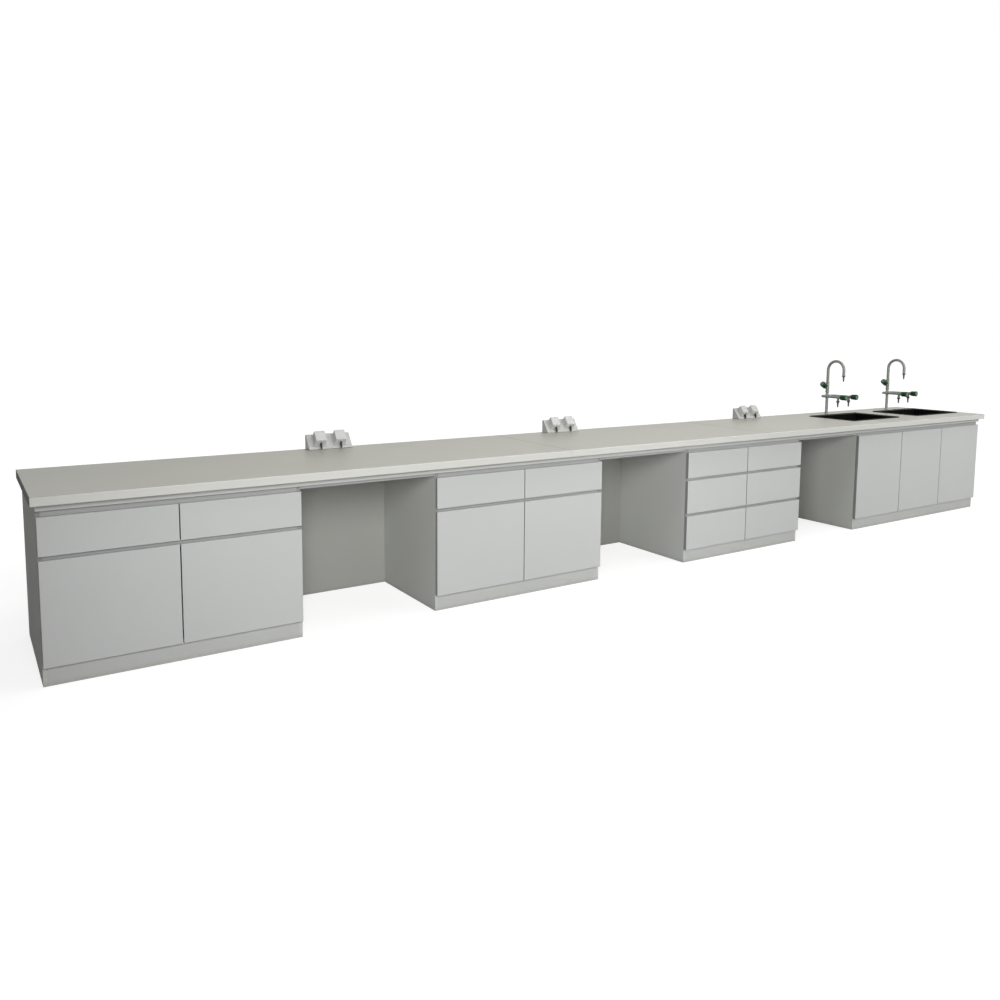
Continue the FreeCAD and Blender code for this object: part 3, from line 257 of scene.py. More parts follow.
@dataclass(frozen=True)
class Finish:
    """One finish of the bench, made as a procedural material when it is first used."""

    name: str
    colour: Colour
    roughness: float
    metallic: float = 0.0
    specular: float = 0.5

    def material(self) -> bpy.types.Material:
        """The material of this finish."""
        title = f"{self.name}_finish"
        known = bpy.data.materials.get(title)
        if known is not None:
            return known
        material = bpy.data.materials.new(title)
        material.diffuse_color = (*self.colour, 1.0)
        graph = Graph.start(material)
        constants = {"Metallic": self.metallic, "Specular IOR Level": self.specular}
        inputs = self.surface(graph, graph.place())
        shader = graph.add("ShaderNodeBsdfPrincipled", sockets={**constants, **inputs})
        graph.end("ShaderNodeOutputMaterial", shader)
        return material

    def tint(self, graph: Graph, factor: Wire, low: float, high: float) -> Wire:
        """The colour of this finish, between a darker and a lighter share of it."""
        return graph.mix(factor, scaled(self.colour, low), scaled(self.colour, high))

    def surface(self, graph: Graph, place: Wire) -> dict[str, Any]:
        """The inputs of the shader that may vary with the place on the surface."""
        return {"Base Color": (*self.colour, 1.0), "Roughness": self.roughness}


@dataclass(frozen=True)
class Board(Finish):
    """Melamine-faced board: a faint upright grain, soft clouds, hand marks and dust near the floor."""

    grain: float = 0.03
    dust: Colour = (0.33, 0.31, 0.28)
    dust_base: float = 0.004
    dust_height: float = 0.02

    def surface(self, graph: Graph, place: Wire) -> dict[str, Any]:
        """The varying inputs of the shader."""
        clouds = graph.noise(place, scale=2.6, detail=3.0)
        fibres = graph.noise(place, scale=160.0, detail=2.0, stretch=(1.0, 1.0, 0.06))
        smears = graph.ramp(graph.noise(place, scale=5.5, detail=4.0), [(0.55, 0.0), (0.75, 1.0)])
        tone = self.tint(graph, clouds, 1.0 - self.grain, 1.0 + self.grain)
        tone = graph.mix(fibres * self.grain * 2.0, tone, scaled(self.colour, 0.86))
        low = graph.axis(place, "Z").below(self.dust_base, self.dust_height)
        dusty = low * graph.noise(place, scale=38.0, detail=3.0) * 0.7
        tone = graph.mix(dusty, tone, self.dust)
        pores = graph.noise(place, scale=900.0, detail=2.0, stretch=(1.0, 1.0, 0.2))
        return {
            "Base Color": tone,
            "Roughness": self.roughness + smears * 0.08 + fibres * 0.04,
            "Normal": graph.bump(pores, strength=0.12, distance=0.0002),
        }


@dataclass(frozen=True)
class ShadeEdgedBoard(Board):
    """Board whose front edge is painted dark grey above the plinth: painted shade of the recessed grip
    channels where that edge shows.
    """

    # The dark grey of the painted shade on the front edge.
    painted_edge_tone: Colour = (0.3, 0.3, 0.3)
    front: float = -0.3425
    plinth: float = 0.088

    def surface(self, graph: Graph, place: Wire) -> dict[str, Any]:
        """The varying inputs of the shader."""
        inputs = super().surface(graph, place)
        edge = graph.axis(place, "Y").below(self.front, soft=0.0002)
        high = 1.0 - graph.axis(place, "Z").below(self.plinth, soft=0.0005)
        # Painted shade: the front edge turns dark grey above the plinth, where it lies in the shaded grip
        # channels.
        inputs["Base Color"] = graph.mix(edge * high, inputs["Base Color"], self.painted_edge_tone)
        return inputs


@dataclass(frozen=True)
class Laminate(Finish):
    """High-pressure laminate of the worktop: fine speckle, soft wear, painted light on the front edge, dull
    ends in painted shade.
    """

    # The lighter colour of the painted light on the front edge.
    painted_edge_tone: Colour = (0.61, 0.61, 0.58)
    # The dark colour of the painted shade on the ends.
    end_shade: Colour = (0.2, 0.19, 0.175)
    front: float = -0.4
    end: float = 3.5325
    skin: float = 0.0012
    soft: float = 0.0006

    def surface(self, graph: Graph, place: Wire) -> dict[str, Any]:
        """The varying inputs of the shader."""
        speckle = graph.noise(place, scale=420.0, detail=2.0)
        clouds = graph.noise(place, scale=1.7, detail=4.0, stretch=(0.6, 1.0, 1.0))
        streaks = graph.noise(place, scale=9.0, detail=3.0, stretch=(0.18, 1.0, 1.0))
        worn = graph.ramp(graph.noise(place, scale=3.1, detail=2.0), [(0.45, 0.0), (0.75, 1.0)])
        tone = self.tint(graph, clouds, 0.93, 1.06)
        tone = graph.mix(speckle * 0.22, tone, scaled(self.colour, 0.78))
        tone = graph.mix(worn * streaks * 0.5, tone, scaled(self.colour, 1.1))
        edge = graph.axis(place, "Y").below(self.front + self.skin, self.soft)
        along, limit = graph.axis(place, "X"), self.skin - self.end
        ends = along.below(limit, self.soft) + (along * -1.0).below(limit, self.soft)
        # Painted light: the front edge, of the same laminate as the top, is painted lighter than it.
        tone = graph.mix(edge, tone, graph.mix(speckle * 0.25, self.painted_edge_tone, scaled(self.painted_edge_tone, 0.9)))
        # Painted shade: both ends of the worktop are painted dark, like the shaded end of the bench.
        tone = graph.mix(ends, tone, self.end_shade)
        pores = graph.noise(place, scale=1400.0, detail=1.0)
        return {
            "Base Color": tone,
            "Roughness": self.roughness + clouds * 0.1 + streaks * 0.04 + ends * 0.5,
            "Normal": graph.bump(pores, strength=0.08, distance=0.00015),
        }


@dataclass(frozen=True)
class Moulded(Finish):
    """Moulded polymer: a fine spark-eroded texture, slight flow marks and a little bloom."""

    texture: float = 900.0
    relief: float = 0.18
    bloom: float = 0.12

    def surface(self, graph: Graph, place: Wire) -> dict[str, Any]:
        """The varying inputs of the shader."""
        grain = graph.noise(place, scale=self.texture, detail=2.0)
        flow = graph.noise(place, scale=14.0, detail=3.0)
        spots = graph.ramp(graph.noise(place, scale=46.0, detail=4.0), [(0.6, 0.0), (0.78, 1.0)])
        tone = self.tint(graph, flow, 1.0 - self.bloom, 1.0 + self.bloom)
        tone = graph.mix(spots * self.bloom, tone, scaled(self.colour, 1.0 + self.bloom * 4.0))
        return {
            "Base Color": tone,
            "Roughness": self.roughness + flow * 0.1 + spots * 0.06,
            "Normal": graph.bump(grain, strength=self.relief, distance=0.0002),
        }


@dataclass(frozen=True)
class Basin(Moulded):
    """The black polymer of the sinks, with water marks low in the bowl and a painted highlight along its
    ledge.
    """

    floor: float = 0.5
    rim: float = 0.8002
    ledge: tuple[float, float] = (0.8025, 0.8034)
    # The lighter grey of the water marks, and of the painted highlight on the ledge.
    water_marks_and_highlight: Colour = (0.06, 0.06, 0.057)

    def surface(self, graph: Graph, place: Wire) -> dict[str, Any]:
        """The varying inputs of the shader."""
        inputs = super().surface(graph, place)
        height = graph.axis(place, "Z")
        low = height.below(self.floor + 0.012, soft=0.16)
        # Painted highlight: a lighter ring along the ledge inside the rim.
        ledge_highlight = height.below(self.ledge[1], soft=0.0003) * (1.0 - height.below(self.ledge[0], soft=0.0003))
        stains = graph.ramp(graph.noise(place, scale=20.0, detail=6.0), [(0.5, 0.0), (0.62, 1.0)])
        drips = graph.noise(place, scale=60.0, detail=2.0, stretch=(1.0, 1.0, 0.05))
        tone = graph.mix(low * stains * drips * 0.8, inputs["Base Color"], self.water_marks_and_highlight)
        inputs["Base Color"] = graph.mix(ledge_highlight * 0.8, tone, self.water_marks_and_highlight)
        inputs["Roughness"] = inputs["Roughness"] + height.below(self.rim, soft=0.001) * 0.35
        return inputs


@dataclass(frozen=True)
class Footed(Moulded):
    """Moulded polymer with painted shade: a near-black strip along its foot, where it meets the worktop."""

    foot: float = 0.802
    # The near-black of the painted shade along the foot.
    foot_shade: Colour = (0.03, 0.03, 0.03)

    def surface(self, graph: Graph, place: Wire) -> dict[str, Any]:
        """The varying inputs of the shader."""
        inputs = super().surface(graph, place)
        low = graph.axis(place, "Z").below(self.foot, soft=0.0003)
        # Painted shade: the lowest two millimetres turn near black, like the shadow where the foot meets the
        # worktop.
        inputs["Base Color"] = graph.mix(low, inputs["Base Color"], self.foot_shade)
        return inputs


@dataclass(frozen=True)
class Coat(Finish):
    """Baked coating on the brass of the taps: glossy, a little orange peel, duller where it was handled."""

    def surface(self, graph: Graph, place: Wire) -> dict[str, Any]:
        """The varying inputs of the shader."""
        peel = graph.noise(place, scale=380.0, detail=2.0)
        handled = graph.noise(place, scale=24.0, detail=4.0)
        return {
            "Base Color": self.tint(graph, handled, 0.92, 1.07),
            "Roughness": self.roughness + handled * 0.16,
            "Normal": graph.bump(peel, strength=0.06, distance=0.0002),
        }


@dataclass(frozen=True)
class Steel(Finish):
    """Rolled steel with a fine brush along one axis."""

    brush: tuple[float, float, float] = (1.0, 0.04, 1.0)

    def surface(self, graph: Graph, place: Wire) -> dict[str, Any]:
        """The varying inputs of the shader."""
        lines = graph.noise(place, scale=700.0, detail=2.0, stretch=self.brush)
        cells = {"Vector": place, "Scale": 160.0}
        spangle = graph.add("ShaderNodeTexVoronoi", sockets=cells, out="Distance")
        return {
            "Base Color": self.tint(graph, lines, 0.86, 1.1),
            "Roughness": self.roughness + lines * 0.12 + spangle * 0.08,
            "Normal": graph.bump(lines, strength=0.08, distance=0.0001),
        }


FRONT_BOARD = Board("front_board", (0.54, 0.55, 0.542), roughness=0.42, specular=0.35)
# Painted shade: the side edges of the fronts are dark grey, standing for the shade in the narrow gaps between
# fronts.
FRONT_GAP_SHADE = Board("front_edge_painted_shade", (0.27, 0.275, 0.27), roughness=0.5, specular=0.2)
CARCASS_BOARD = Board("carcass_board", (0.525, 0.533, 0.515), roughness=0.5, specular=0.25)
# Painted light: the carcass sides are a lighter copy of the white laminate, so that the knee sides look lit.
SIDE_LIT_BOARD = ShadeEdgedBoard("side_board_painted_light", (0.57, 0.58, 0.552), roughness=0.55, specular=0.06)
# Painted shade: the rails are the white laminate painted dark grey, as the shade in the recessed grip
# channels; the knee-space aprons share it.
RAIL_SHADE_BOARD = Board("rail_board_painted_shade", (0.355, 0.362, 0.36), roughness=0.5)
# Painted shade: the knee-space boards are the white laminate painted darker and warmer, as the shade inside
# the knee spaces.
KNEE_SHADE_BOARD = Board("knee_board_painted_shade", (0.455, 0.458, 0.43), roughness=0.5, specular=0.25)
DRAWER_BOARD = Board("drawer_board", (0.6, 0.6, 0.58), roughness=0.5)
DRAWER_BOTTOM = Board("drawer_bottom", (0.5, 0.5, 0.49), roughness=0.55)
WORKTOP = Laminate("worktop_laminate", (0.43, 0.427, 0.365), roughness=0.34, specular=0.4)
SEALANT = Moulded("seam_sealant", (0.16, 0.155, 0.14), roughness=0.6, texture=300.0)
ZINC = Steel("zinc_steel", (0.55, 0.56, 0.57), roughness=0.28, metallic=1.0)
STRAINER_STEEL = Steel("strainer_steel", (0.6, 0.6, 0.6), roughness=0.2, metallic=1.0, brush=(1.0, 1.0, 1.0))
BASIN = Basin("sink_polymer", (0.004, 0.0046, 0.0042), roughness=0.34, specular=0.02)
PIPE_POLYMER = Moulded("pipe_polymer", (0.62, 0.62, 0.6), roughness=0.4)
TAP_COAT = Coat("tap_coat", (0.26, 0.278, 0.25), roughness=0.34, specular=0.4)
NOZZLE_POLYMER = Moulded("nozzle_polymer", (0.09, 0.094, 0.088), roughness=0.45, specular=0.3)
KNOB_POLYMER = Moulded("knob_polymer", (0.004, 0.042, 0.011), roughness=0.36, specular=0.2, texture=1200.0,
                       relief=0.1, bloom=0.1)
# The end cap is a paler green than the knob: partly its own colour, partly a painted highlight on the knob's
# end.
KNOB_CAP_HIGHLIGHT = Moulded("knob_cap_painted_highlight", (0.11, 0.17, 0.12), roughness=0.3, relief=0.05)
PEDESTAL_POLYMER = Footed("pedestal_polymer", (0.43, 0.43, 0.415), roughness=0.4, bloom=0.03)
PLATE_POLYMER = Moulded("plate_polymer", (0.43, 0.43, 0.415), roughness=0.36, bloom=0.03)
COVER_POLYMER = Moulded("cover_polymer", (0.5, 0.5, 0.49), roughness=0.3, bloom=0.03)
TAB_RUBBER = Moulded("tab_rubber", (0.012, 0.012, 0.012), roughness=0.6, texture=500.0)
CONTACT_BRASS = Steel("contact_brass", (0.6, 0.45, 0.2), roughness=0.3, metallic=1.0)


def add_object(name: str, data: bpy.types.ID) -> bpy.types.Object:
    """A new object in the scene."""
    made = bpy.data.objects.new(name, data)
    bpy.context.scene.collection.objects.link(made)
    return made


def upward(height: float) -> Vector:
    """A vector straight up."""
    return Vector((0.0, 0.0, height))


def in_mm(*points: tuple[float, float]) -> Profile:
    """A profile of (radius, height) whose points are written in millimetres."""
    return [(radius * MM, height * MM) for radius, height in points]


def rounded(profile: Profile, radius: float, steps: int = 3) -> Profile:
    """Rounds the inner corners of an open profile.

    Args:
        profile: points as (radius, height).
        radius: how far each rounding reaches along its two runs.
        steps: the number of faces in one rounding.

    Returns:
        The rounded profile.
    """
    points = [Vector(point) for point in profile]
    result = [points[0]]
    for before, corner, after in zip(points, points[1:], points[2:]):
        into, onward = before - corner, after - corner
        reach = min(radius, into.length * ROUNDING_SHARE, onward.length * ROUNDING_SHARE)
        start = corner + into.normalized() * reach
        end = corner + onward.normalized() * reach
        for step in range(steps + 1):
            share = step / steps
            result.append(start.lerp(corner, share).lerp(corner.lerp(end, share), share))
    result.append(points[-1])
    return [(point.x, point.y) for point in result]


def rounded_ring(centre: Vector, half_x: float, half_y: float, radius: float, steps: int = 8) -> Ring:
    """The points of a rounded rectangle about a centre, counter-clockwise seen from above."""
    ring = []
    corners = [(1, 1, 0.0), (-1, 1, 90.0), (-1, -1, 180.0), (1, -1, 270.0)]
    for sign_x, sign_y, start in corners:
        middle = centre + Vector((sign_x * (half_x - radius), sign_y * (half_y - radius), 0.0))
        for step in range(steps + 1):
            angle = math.radians(start + 90.0 * step / steps)
            ring.append(middle + Vector((math.cos(angle), math.sin(angle), 0.0)) * radius)
    return ring


@dataclass
class Shell:
    """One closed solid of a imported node, as loose triangles."""

    triangles: list[list[Vector]] = field(default_factory=list)

    @property
    def low(self) -> Vector:
        """The lowest corner of the solid's box."""
        return Vector(min(point[axis] for face in self.triangles for point in face) for axis in range(3))

    @property
    def high(self) -> Vector:
        """The highest corner of the solid's box."""
        return Vector(max(point[axis] for face in self.triangles for point in face) for axis in range(3))

    @property
    def extent(self) -> Vector:
        """The sides of the solid's box."""
        return self.high - self.low


def point_key(point: Vector) -> tuple[int, ...]:
    """A point as whole micrometres, to find corners that coincide."""
    return tuple(round(value * 1e6) for value in point)


def shells_of(node: bpy.types.Object) -> list[Shell]:
    """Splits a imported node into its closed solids, in the order in which the node holds them."""
    mesh = node.data
    points = [vertex.co.copy() for vertex in mesh.vertices]
    shells, current = [], Shell()
    loose: Counter[tuple] = Counter()
    for polygon in mesh.polygons:
        triangle = [points[index] for index in polygon.vertices]
        keys = [point_key(point) for point in triangle]
        for start, end in zip(keys, keys[1:] + keys[:1]):
            if start == end:
                continue
            if loose[(end, start)] > 1:
                loose[(end, start)] -= 1
            elif loose.pop((end, start), 0) == 0:
                loose[(start, end)] += 1
        current.triangles.append(triangle)
        # A solid is complete when each of its edges has met the same edge run the other way.
        if not loose:
            shells.append(current)
            current = Shell()
    if current.triangles:
        shells.append(current)
    return shells


class Draft:
    """A mesh in the making, with a finish for each of its faces."""

    SHARP = math.radians(32.0)
    LEVEL = math.radians(0.4)
    FLAT_WIDTH = 0.006
    ALONG = 0.9

    def __init__(self) -> None:
        """Starts with no faces."""
        self.bm = bmesh.new()
        self.finishes: list[Finish] = []

    def add(self, part: bmesh.types.BMesh, finish: Finish, ends: Finish | None = None) -> None:
        """Moves the faces of a mesh into the draft; wide faces stay flat, narrow ones are smooth.

        Args:
            part: the mesh, which is freed.
            finish: the finish of the faces.
            ends: another finish for the faces that look along the bench, where it is given.
        """
        for used in (finish, ends):
            if used is not None and used not in self.finishes:
                self.finishes.append(used)
        part.normal_update()
        for face in part.faces:
            along = ends is not None and abs(face.normal.x) > self.ALONG
            face.material_index = self.finishes.index(ends if along else finish)
            face.smooth = 2.0 * face.calc_area() < self.FLAT_WIDTH * face.calc_perimeter()
        mesh = bpy.data.meshes.new("draft")
        part.to_mesh(mesh)
        part.free()
        self.bm.from_mesh(mesh)
        bpy.data.meshes.remove(mesh)

    def shape(self, shaper: "Shaper", base: bpy.types.Mesh, finish: Finish, at: Matrix | None = None,
              **numbers: float | int) -> None:
        """Adds what a shaper makes of a base mesh.

        Args:
            shaper: the shaper.
            base: the mesh that enters it.
            finish: the finish of the faces.
            at: the place, where it isn't that of the base mesh.
            numbers: values of inputs that differ from the defaults.
        """
        mesh = shaper.mesh(base, finish, **numbers)
        if at is not None:
            mesh.transform(at)
        part = bmesh.new()
        part.from_mesh(mesh)
        bpy.data.meshes.remove(mesh)
        self.add(part, finish)

    def skin(self, rings: Sequence[Ring], finish: Finish) -> None:
        """Joins rings of points into one closed skin, with a cap at each end.

        Args:
            rings: rings of the same count, or single points as poles.
            finish: the finish of the faces.
        """
        part = bmesh.new()
        rows = [[part.verts.new(point) for point in ring] for ring in rings]
        for lower, upper in zip(rows, rows[1:]):
            count = max(len(lower), len(upper))
            for index in range(count):
                following = (index + 1) % count
                corners = [lower[index % len(lower)], lower[following % len(lower)],
                           upper[following % len(upper)], upper[index % len(upper)]]
                part.faces.new(list(dict.fromkeys(corners)))
        for row in (rows[0], rows[-1]):
            if len(row) > 2:
                part.faces.new(row)
        bmesh.ops.recalc_face_normals(part, faces=part.faces)
        self.add(part, finish)

    def turn(self, profile: Profile, finish: Finish, at: Matrix, steps: int = 40) -> None:
        """Turns a profile of (radius, height) about the Z axis of a place.

        Args:
            profile: it starts and ends on the axis, or gets a flat cap.
            finish: the finish of the faces.
            at: the place.
            steps: faces around the axis.
        """
        rings = []
        for radius, height in profile:
            angles = [2.0 * math.pi * step / steps for step in range(steps)] if radius > 1e-7 else [0.0]
            rings.append([at @ Vector((radius * math.cos(a), radius * math.sin(a), height)) for a in angles])
        self.skin(rings, finish)

    def take(self, shell: Shell, finish: Finish, bevel: float = 0.0, segments: int = 2,
             chosen: Callable[[bmesh.types.BMEdge], bool] | None = None, ends: Finish | None = None) -> None:
        """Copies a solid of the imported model, merged, with its outer edges rounded.

        Args:
            shell: the solid.
            finish: the finish of the faces.
            bevel: the width of the rounding, or 0 for none.
            segments: faces across one rounding.
            chosen: tells which sharp outer edges are rounded; all of them if it is left out.
            ends: another finish for the faces that look along the bench, where it is given.
        """
        part = bmesh.new()
        known: dict[tuple[int, ...], bmesh.types.BMVert] = {}
        for triangle in shell.triangles:
            corners = []
            for point in triangle:
                key = point_key(point)
                if key not in known:
                    known[key] = part.verts.new(point)
                corners.append(known[key])
            if len(set(corners)) == 3 and part.faces.get(corners) is None:
                part.faces.new(corners)
        part.normal_update()
        bmesh.ops.dissolve_limit(part, angle_limit=self.LEVEL, verts=part.verts, edges=part.edges)
        if bevel > 0.0:
            sharp = [edge for edge in part.edges
                     if edge.is_manifold and edge.is_convex and edge.calc_face_angle(0.0) > self.SHARP
                     and (chosen is None or chosen(edge))]
            bmesh.ops.bevel(part, geom=sharp, offset=bevel, segments=segments, profile=0.5, affect="EDGES",
                            clamp_overlap=True)
        self.add(part, finish, ends)

    def piece(self, name: str, body: str, slot: str, replaces: Iterable[str] = ()) -> None:
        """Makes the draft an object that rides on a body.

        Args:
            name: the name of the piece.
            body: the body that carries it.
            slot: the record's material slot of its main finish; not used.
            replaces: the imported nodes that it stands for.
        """
        mesh = bpy.data.meshes.new(name)
        self.bm.to_mesh(mesh)
        # Marking the sharp edges makes every face smooth, so the flat ones are set again afterwards.
        smooth = [face.smooth for face in self.bm.faces]
        self.bm.free()
        for finish in self.finishes:
            mesh.materials.append(finish.material())
        mesh.set_sharp_from_angle(angle=self.SHARP)
        mesh.polygons.foreach_set("use_smooth", smooth)
        piece = add_object(name, mesh)
        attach(piece, body)
        nodes = list(replaces)
        if nodes:
            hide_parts(*nodes)
        LOG.info("%s: %d faces on %s", name, len(mesh.polygons), body)


class Shaper:
    """A geometry node group with named inputs, which turns a base mesh into a plain mesh."""

    def __init__(self, name: str, numbers: dict[str, float | int]) -> None:
        """Makes the group with its inputs.

        Args:
            name: the name of the group.
            numbers: named inputs with their default values; whole numbers make whole-number inputs.
        """
        self.group = bpy.data.node_groups.new(name, "GeometryNodeTree")
        self.graph = Graph(self.group)
        face = self.group.interface
        self.keys: dict[str, str] = {}
        face.new_socket("Geometry", in_out="INPUT", socket_type="NodeSocketGeometry")
        for label, value in numbers.items():
            kind = "NodeSocketInt" if isinstance(value, int) else "NodeSocketFloat"
            socket = face.new_socket(label, in_out="INPUT", socket_type=kind)
            socket.default_value = value
            self.keys[label] = socket.identifier
        self.keys["Material"] = face.new_socket(
            "Material", in_out="INPUT", socket_type="NodeSocketMaterial").identifier
        face.new_socket("Geometry", in_out="OUTPUT", socket_type="NodeSocketGeometry")
        self.entry = self.group.nodes.new("NodeGroupInput")

    def __getitem__(self, label: str) -> Wire:
        """One input of the group."""
        return Wire(self.group, self.entry.outputs[label])

    def close(self, geometry: Wire) -> "Shaper":
        """Ends the group with real geometry in its material, and returns the shaper."""
        real = self.graph.shape("RealizeInstances", Geometry=geometry)
        merged = self.graph.shape("MergeByDistance", Geometry=real, Distance=1e-6)
        dressed = self.graph.shape("SetMaterial", Geometry=merged, Material=self["Material"])
        leave = self.group.nodes.new("NodeGroupOutput")
        self.group.links.new(dressed.socket, leave.inputs["Geometry"])
        return self

    def mesh(self, base: bpy.types.Mesh, finish: Finish, **numbers: float | int) -> bpy.types.Mesh:
        """Runs the group on a base mesh.

        Args:
            base: the mesh that enters the group.
            finish: the finish of the result.
            numbers: values of inputs that differ from the defaults; an underscore stands for a blank.

        Returns:
            A plain mesh.
        """
        carrier = add_object("carrier", base)
        modifier = carrier.modifiers.new("shape", "NODES")
        modifier.node_group = self.group
        for label, number in numbers.items():
            modifier[self.keys[label.replace("_", " ")]] = number
        modifier[self.keys["Material"]] = finish.material()
        graph = bpy.context.evaluated_depsgraph_get()
        result = bpy.data.meshes.new_from_object(carrier.evaluated_get(graph))
        carrier.modifiers.remove(modifier)
        bpy.data.objects.remove(carrier)
        bpy.data.meshes.remove(base)
        return result


def point_mesh(points: Sequence[Vector], edges: Sequence[tuple[int, int]] = (),
               facing: Sequence[Vector] = ()) -> bpy.types.Mesh:
    """A bare mesh of points and edges, with a direction stored at each point where it is given."""
    mesh = bpy.data.meshes.new("points")
    mesh.from_pydata([tuple(point) for point in points], list(edges), [])
    if facing:
        store = mesh.attributes.new("facing", "FLOAT_VECTOR", "POINT")
        store.data.foreach_set("vector", [value for vector in facing for value in vector])
    return mesh


def path_mesh(points: Sequence[Vector]) -> bpy.types.Mesh:
    """A bare mesh of one open run of edges."""
    return point_mesh(points, [(index, index + 1) for index in range(len(points) - 1)])


def pipe_shaper() -> Shaper:
    """Round tube along a run of edges, with bent elbows."""
    shaper = Shaper("pipe_along_path", {"Radius": 0.01, "Elbow": 0.016, "Sides": 32, "Elbow Steps": 12})
    graph = shaper.graph
    run = graph.shape("MeshToCurve", Mesh=shaper["Geometry"])
    bent = graph.add("GeometryNodeFilletCurve", {"mode": "POLY"}, {
        "Curve": run, "Count": shaper["Elbow Steps"], "Radius": shaper["Elbow"], "Limit Radius": True})
    section = graph.shape("CurvePrimitiveCircle", Resolution=shaper["Sides"], Radius=shaper["Radius"])
    return shaper.close(graph.shape("CurveToMesh", Curve=bent, Profile_Curve=section, Fill_Caps=True))


def rib_shaper() -> Shaper:
    """Tapered stacks of hose ribs that hang from points."""
    shaper = Shaper("hose_ribs", {"Count": 4, "Step": 0.0095, "Root": 0.008, "Taper": 0.625, "Depth": 0.0013,
                                  "Sides": 28})
    graph = shaper.graph
    step, root = shaper["Step"], shaper["Root"]
    rib = graph.shape("MeshCone", Vertices=shaper["Sides"], Radius_Top=root,
                      Radius_Bottom=root - shaper["Depth"], Depth=step)
    drop = graph.vector(Z=step * -1.0)
    line = graph.shape("MeshLine", Count=shaper["Count"], Start_Location=drop, Offset=drop)
    share = 1.0 - (1.0 - shaper["Taper"]) * graph.shape("InputIndex") / shaper["Count"]
    size = graph.vector(X=share, Y=share, Z=1.0)
    stack = graph.shape("InstanceOnPoints", Points=line, Instance=rib, Scale=size)
    real = graph.shape("RealizeInstances", Geometry=stack)
    return shaper.close(graph.shape("InstanceOnPoints", Points=shaper["Geometry"], Instance=real))


def knob_shaper() -> Shaper:
    """A lobed knob about Z, whose inner face lies at zero."""
    shaper = Shaper("lobed_knob", {"Length": 0.046, "Inner": 0.0205, "Outer": 0.023, "Edge": 0.003,
                                   "Lobes": 8, "Depth": 0.0025, "Fade": 0.005, "Sides": 96, "Rows": 40})
    graph = shaper.graph
    length, edge, inner = shaper["Length"], shaper["Edge"], shaper["Inner"]
    drum = graph.shape("MeshCylinder", Vertices=shaper["Sides"], Side_Segments=shaper["Rows"],
                       Fill_Segments=5, Radius=1.0, Depth=length)
    place = graph.shape("InputPosition")
    x, y, z = (graph.axis(place, name) for name in "XYZ")
    height = z + length / 2.0
    angle = x.math("ARCTAN2", y, x)
    radius = x.math("SQRT", x * x + y * y)
    into = x.math("MAXIMUM", (height - length + edge) / edge, 0.0)
    drop = edge * (1.0 - x.math("SQRT", x.math("MAXIMUM", 1.0 - into * into, 0.0)))
    side = inner + (shaper["Outer"] - inner) * height / length - drop
    wave = x.math("COSINE", angle * shaper["Lobes"])
    fade = x.math("MINIMUM", height / shaper["Fade"], 1.0)
    flute = (wave * 0.5 + 0.5) ** 1.6 * shaper["Depth"] * fade
    reach = radius * (side - flute)
    moved = graph.vector(X=reach * x.math("COSINE", angle), Y=reach * x.math("SINE", angle), Z=height)
    return shaper.close(graph.shape("SetPosition", Geometry=drum, Position=moved))


def screw_shaper() -> Shaper:
    """Small pan-head screws on points, turned to the direction stored at each point."""
    shaper = Shaper("screws", {"Radius": 0.003, "Height": 0.0014, "Sides": 14})
    graph = shaper.graph
    radius, height = shaper["Radius"], shaper["Height"]
    head = graph.shape("MeshCone", Vertices=shaper["Sides"], Side_Segments=2, Radius_Top=radius * 0.62,
                       Radius_Bottom=radius, Depth=height)
    slot = graph.shape("MeshCube", Size=graph.vector(X=radius * 1.0, Y=radius * 0.24, Z=height * 0.3))
    raised = graph.shape("Transform", Geometry=slot, Translation=graph.vector(Z=height))
    crossed = graph.shape("Transform", Geometry=raised, Rotation=(0.0, 0.0, math.pi / 2))
    join = graph.group_join([head, raised, crossed])
    facing = graph.add("GeometryNodeInputNamedAttribute", {"data_type": "FLOAT_VECTOR"}, {"Name": "facing"})
    aim = graph.add("FunctionNodeAlignRotationToVector", {"axis": "Z"}, {"Vector": facing})
    placed = graph.shape("InstanceOnPoints", Points=shaper["Geometry"], Instance=join, Rotation=aim)
    return shaper.close(placed)


def spoke_shaper() -> Shaper:
    """Spokes of a strainer about points."""
    shaper = Shaper("strainer_spokes", {"Count": 8, "Reach": 0.016, "Width": 0.0022, "Thick": 0.0016})
    graph = shaper.graph
    reach, count = shaper["Reach"], shaper["Count"]
    bar = graph.shape("MeshCube", Size=graph.vector(X=reach, Y=shaper["Width"], Z=shaper["Thick"]))
    ring = graph.shape("MeshCircle", Vertices=count, Radius=reach / 2.0)
    spin = graph.vector(Z=graph.shape("InputIndex") * (2.0 * math.pi) / count)
    wheel = graph.shape("InstanceOnPoints", Points=ring, Instance=bar, Rotation=spin)
    real = graph.shape("RealizeInstances", Geometry=wheel)
    return shaper.close(graph.shape("InstanceOnPoints", Points=shaper["Geometry"], Instance=real))


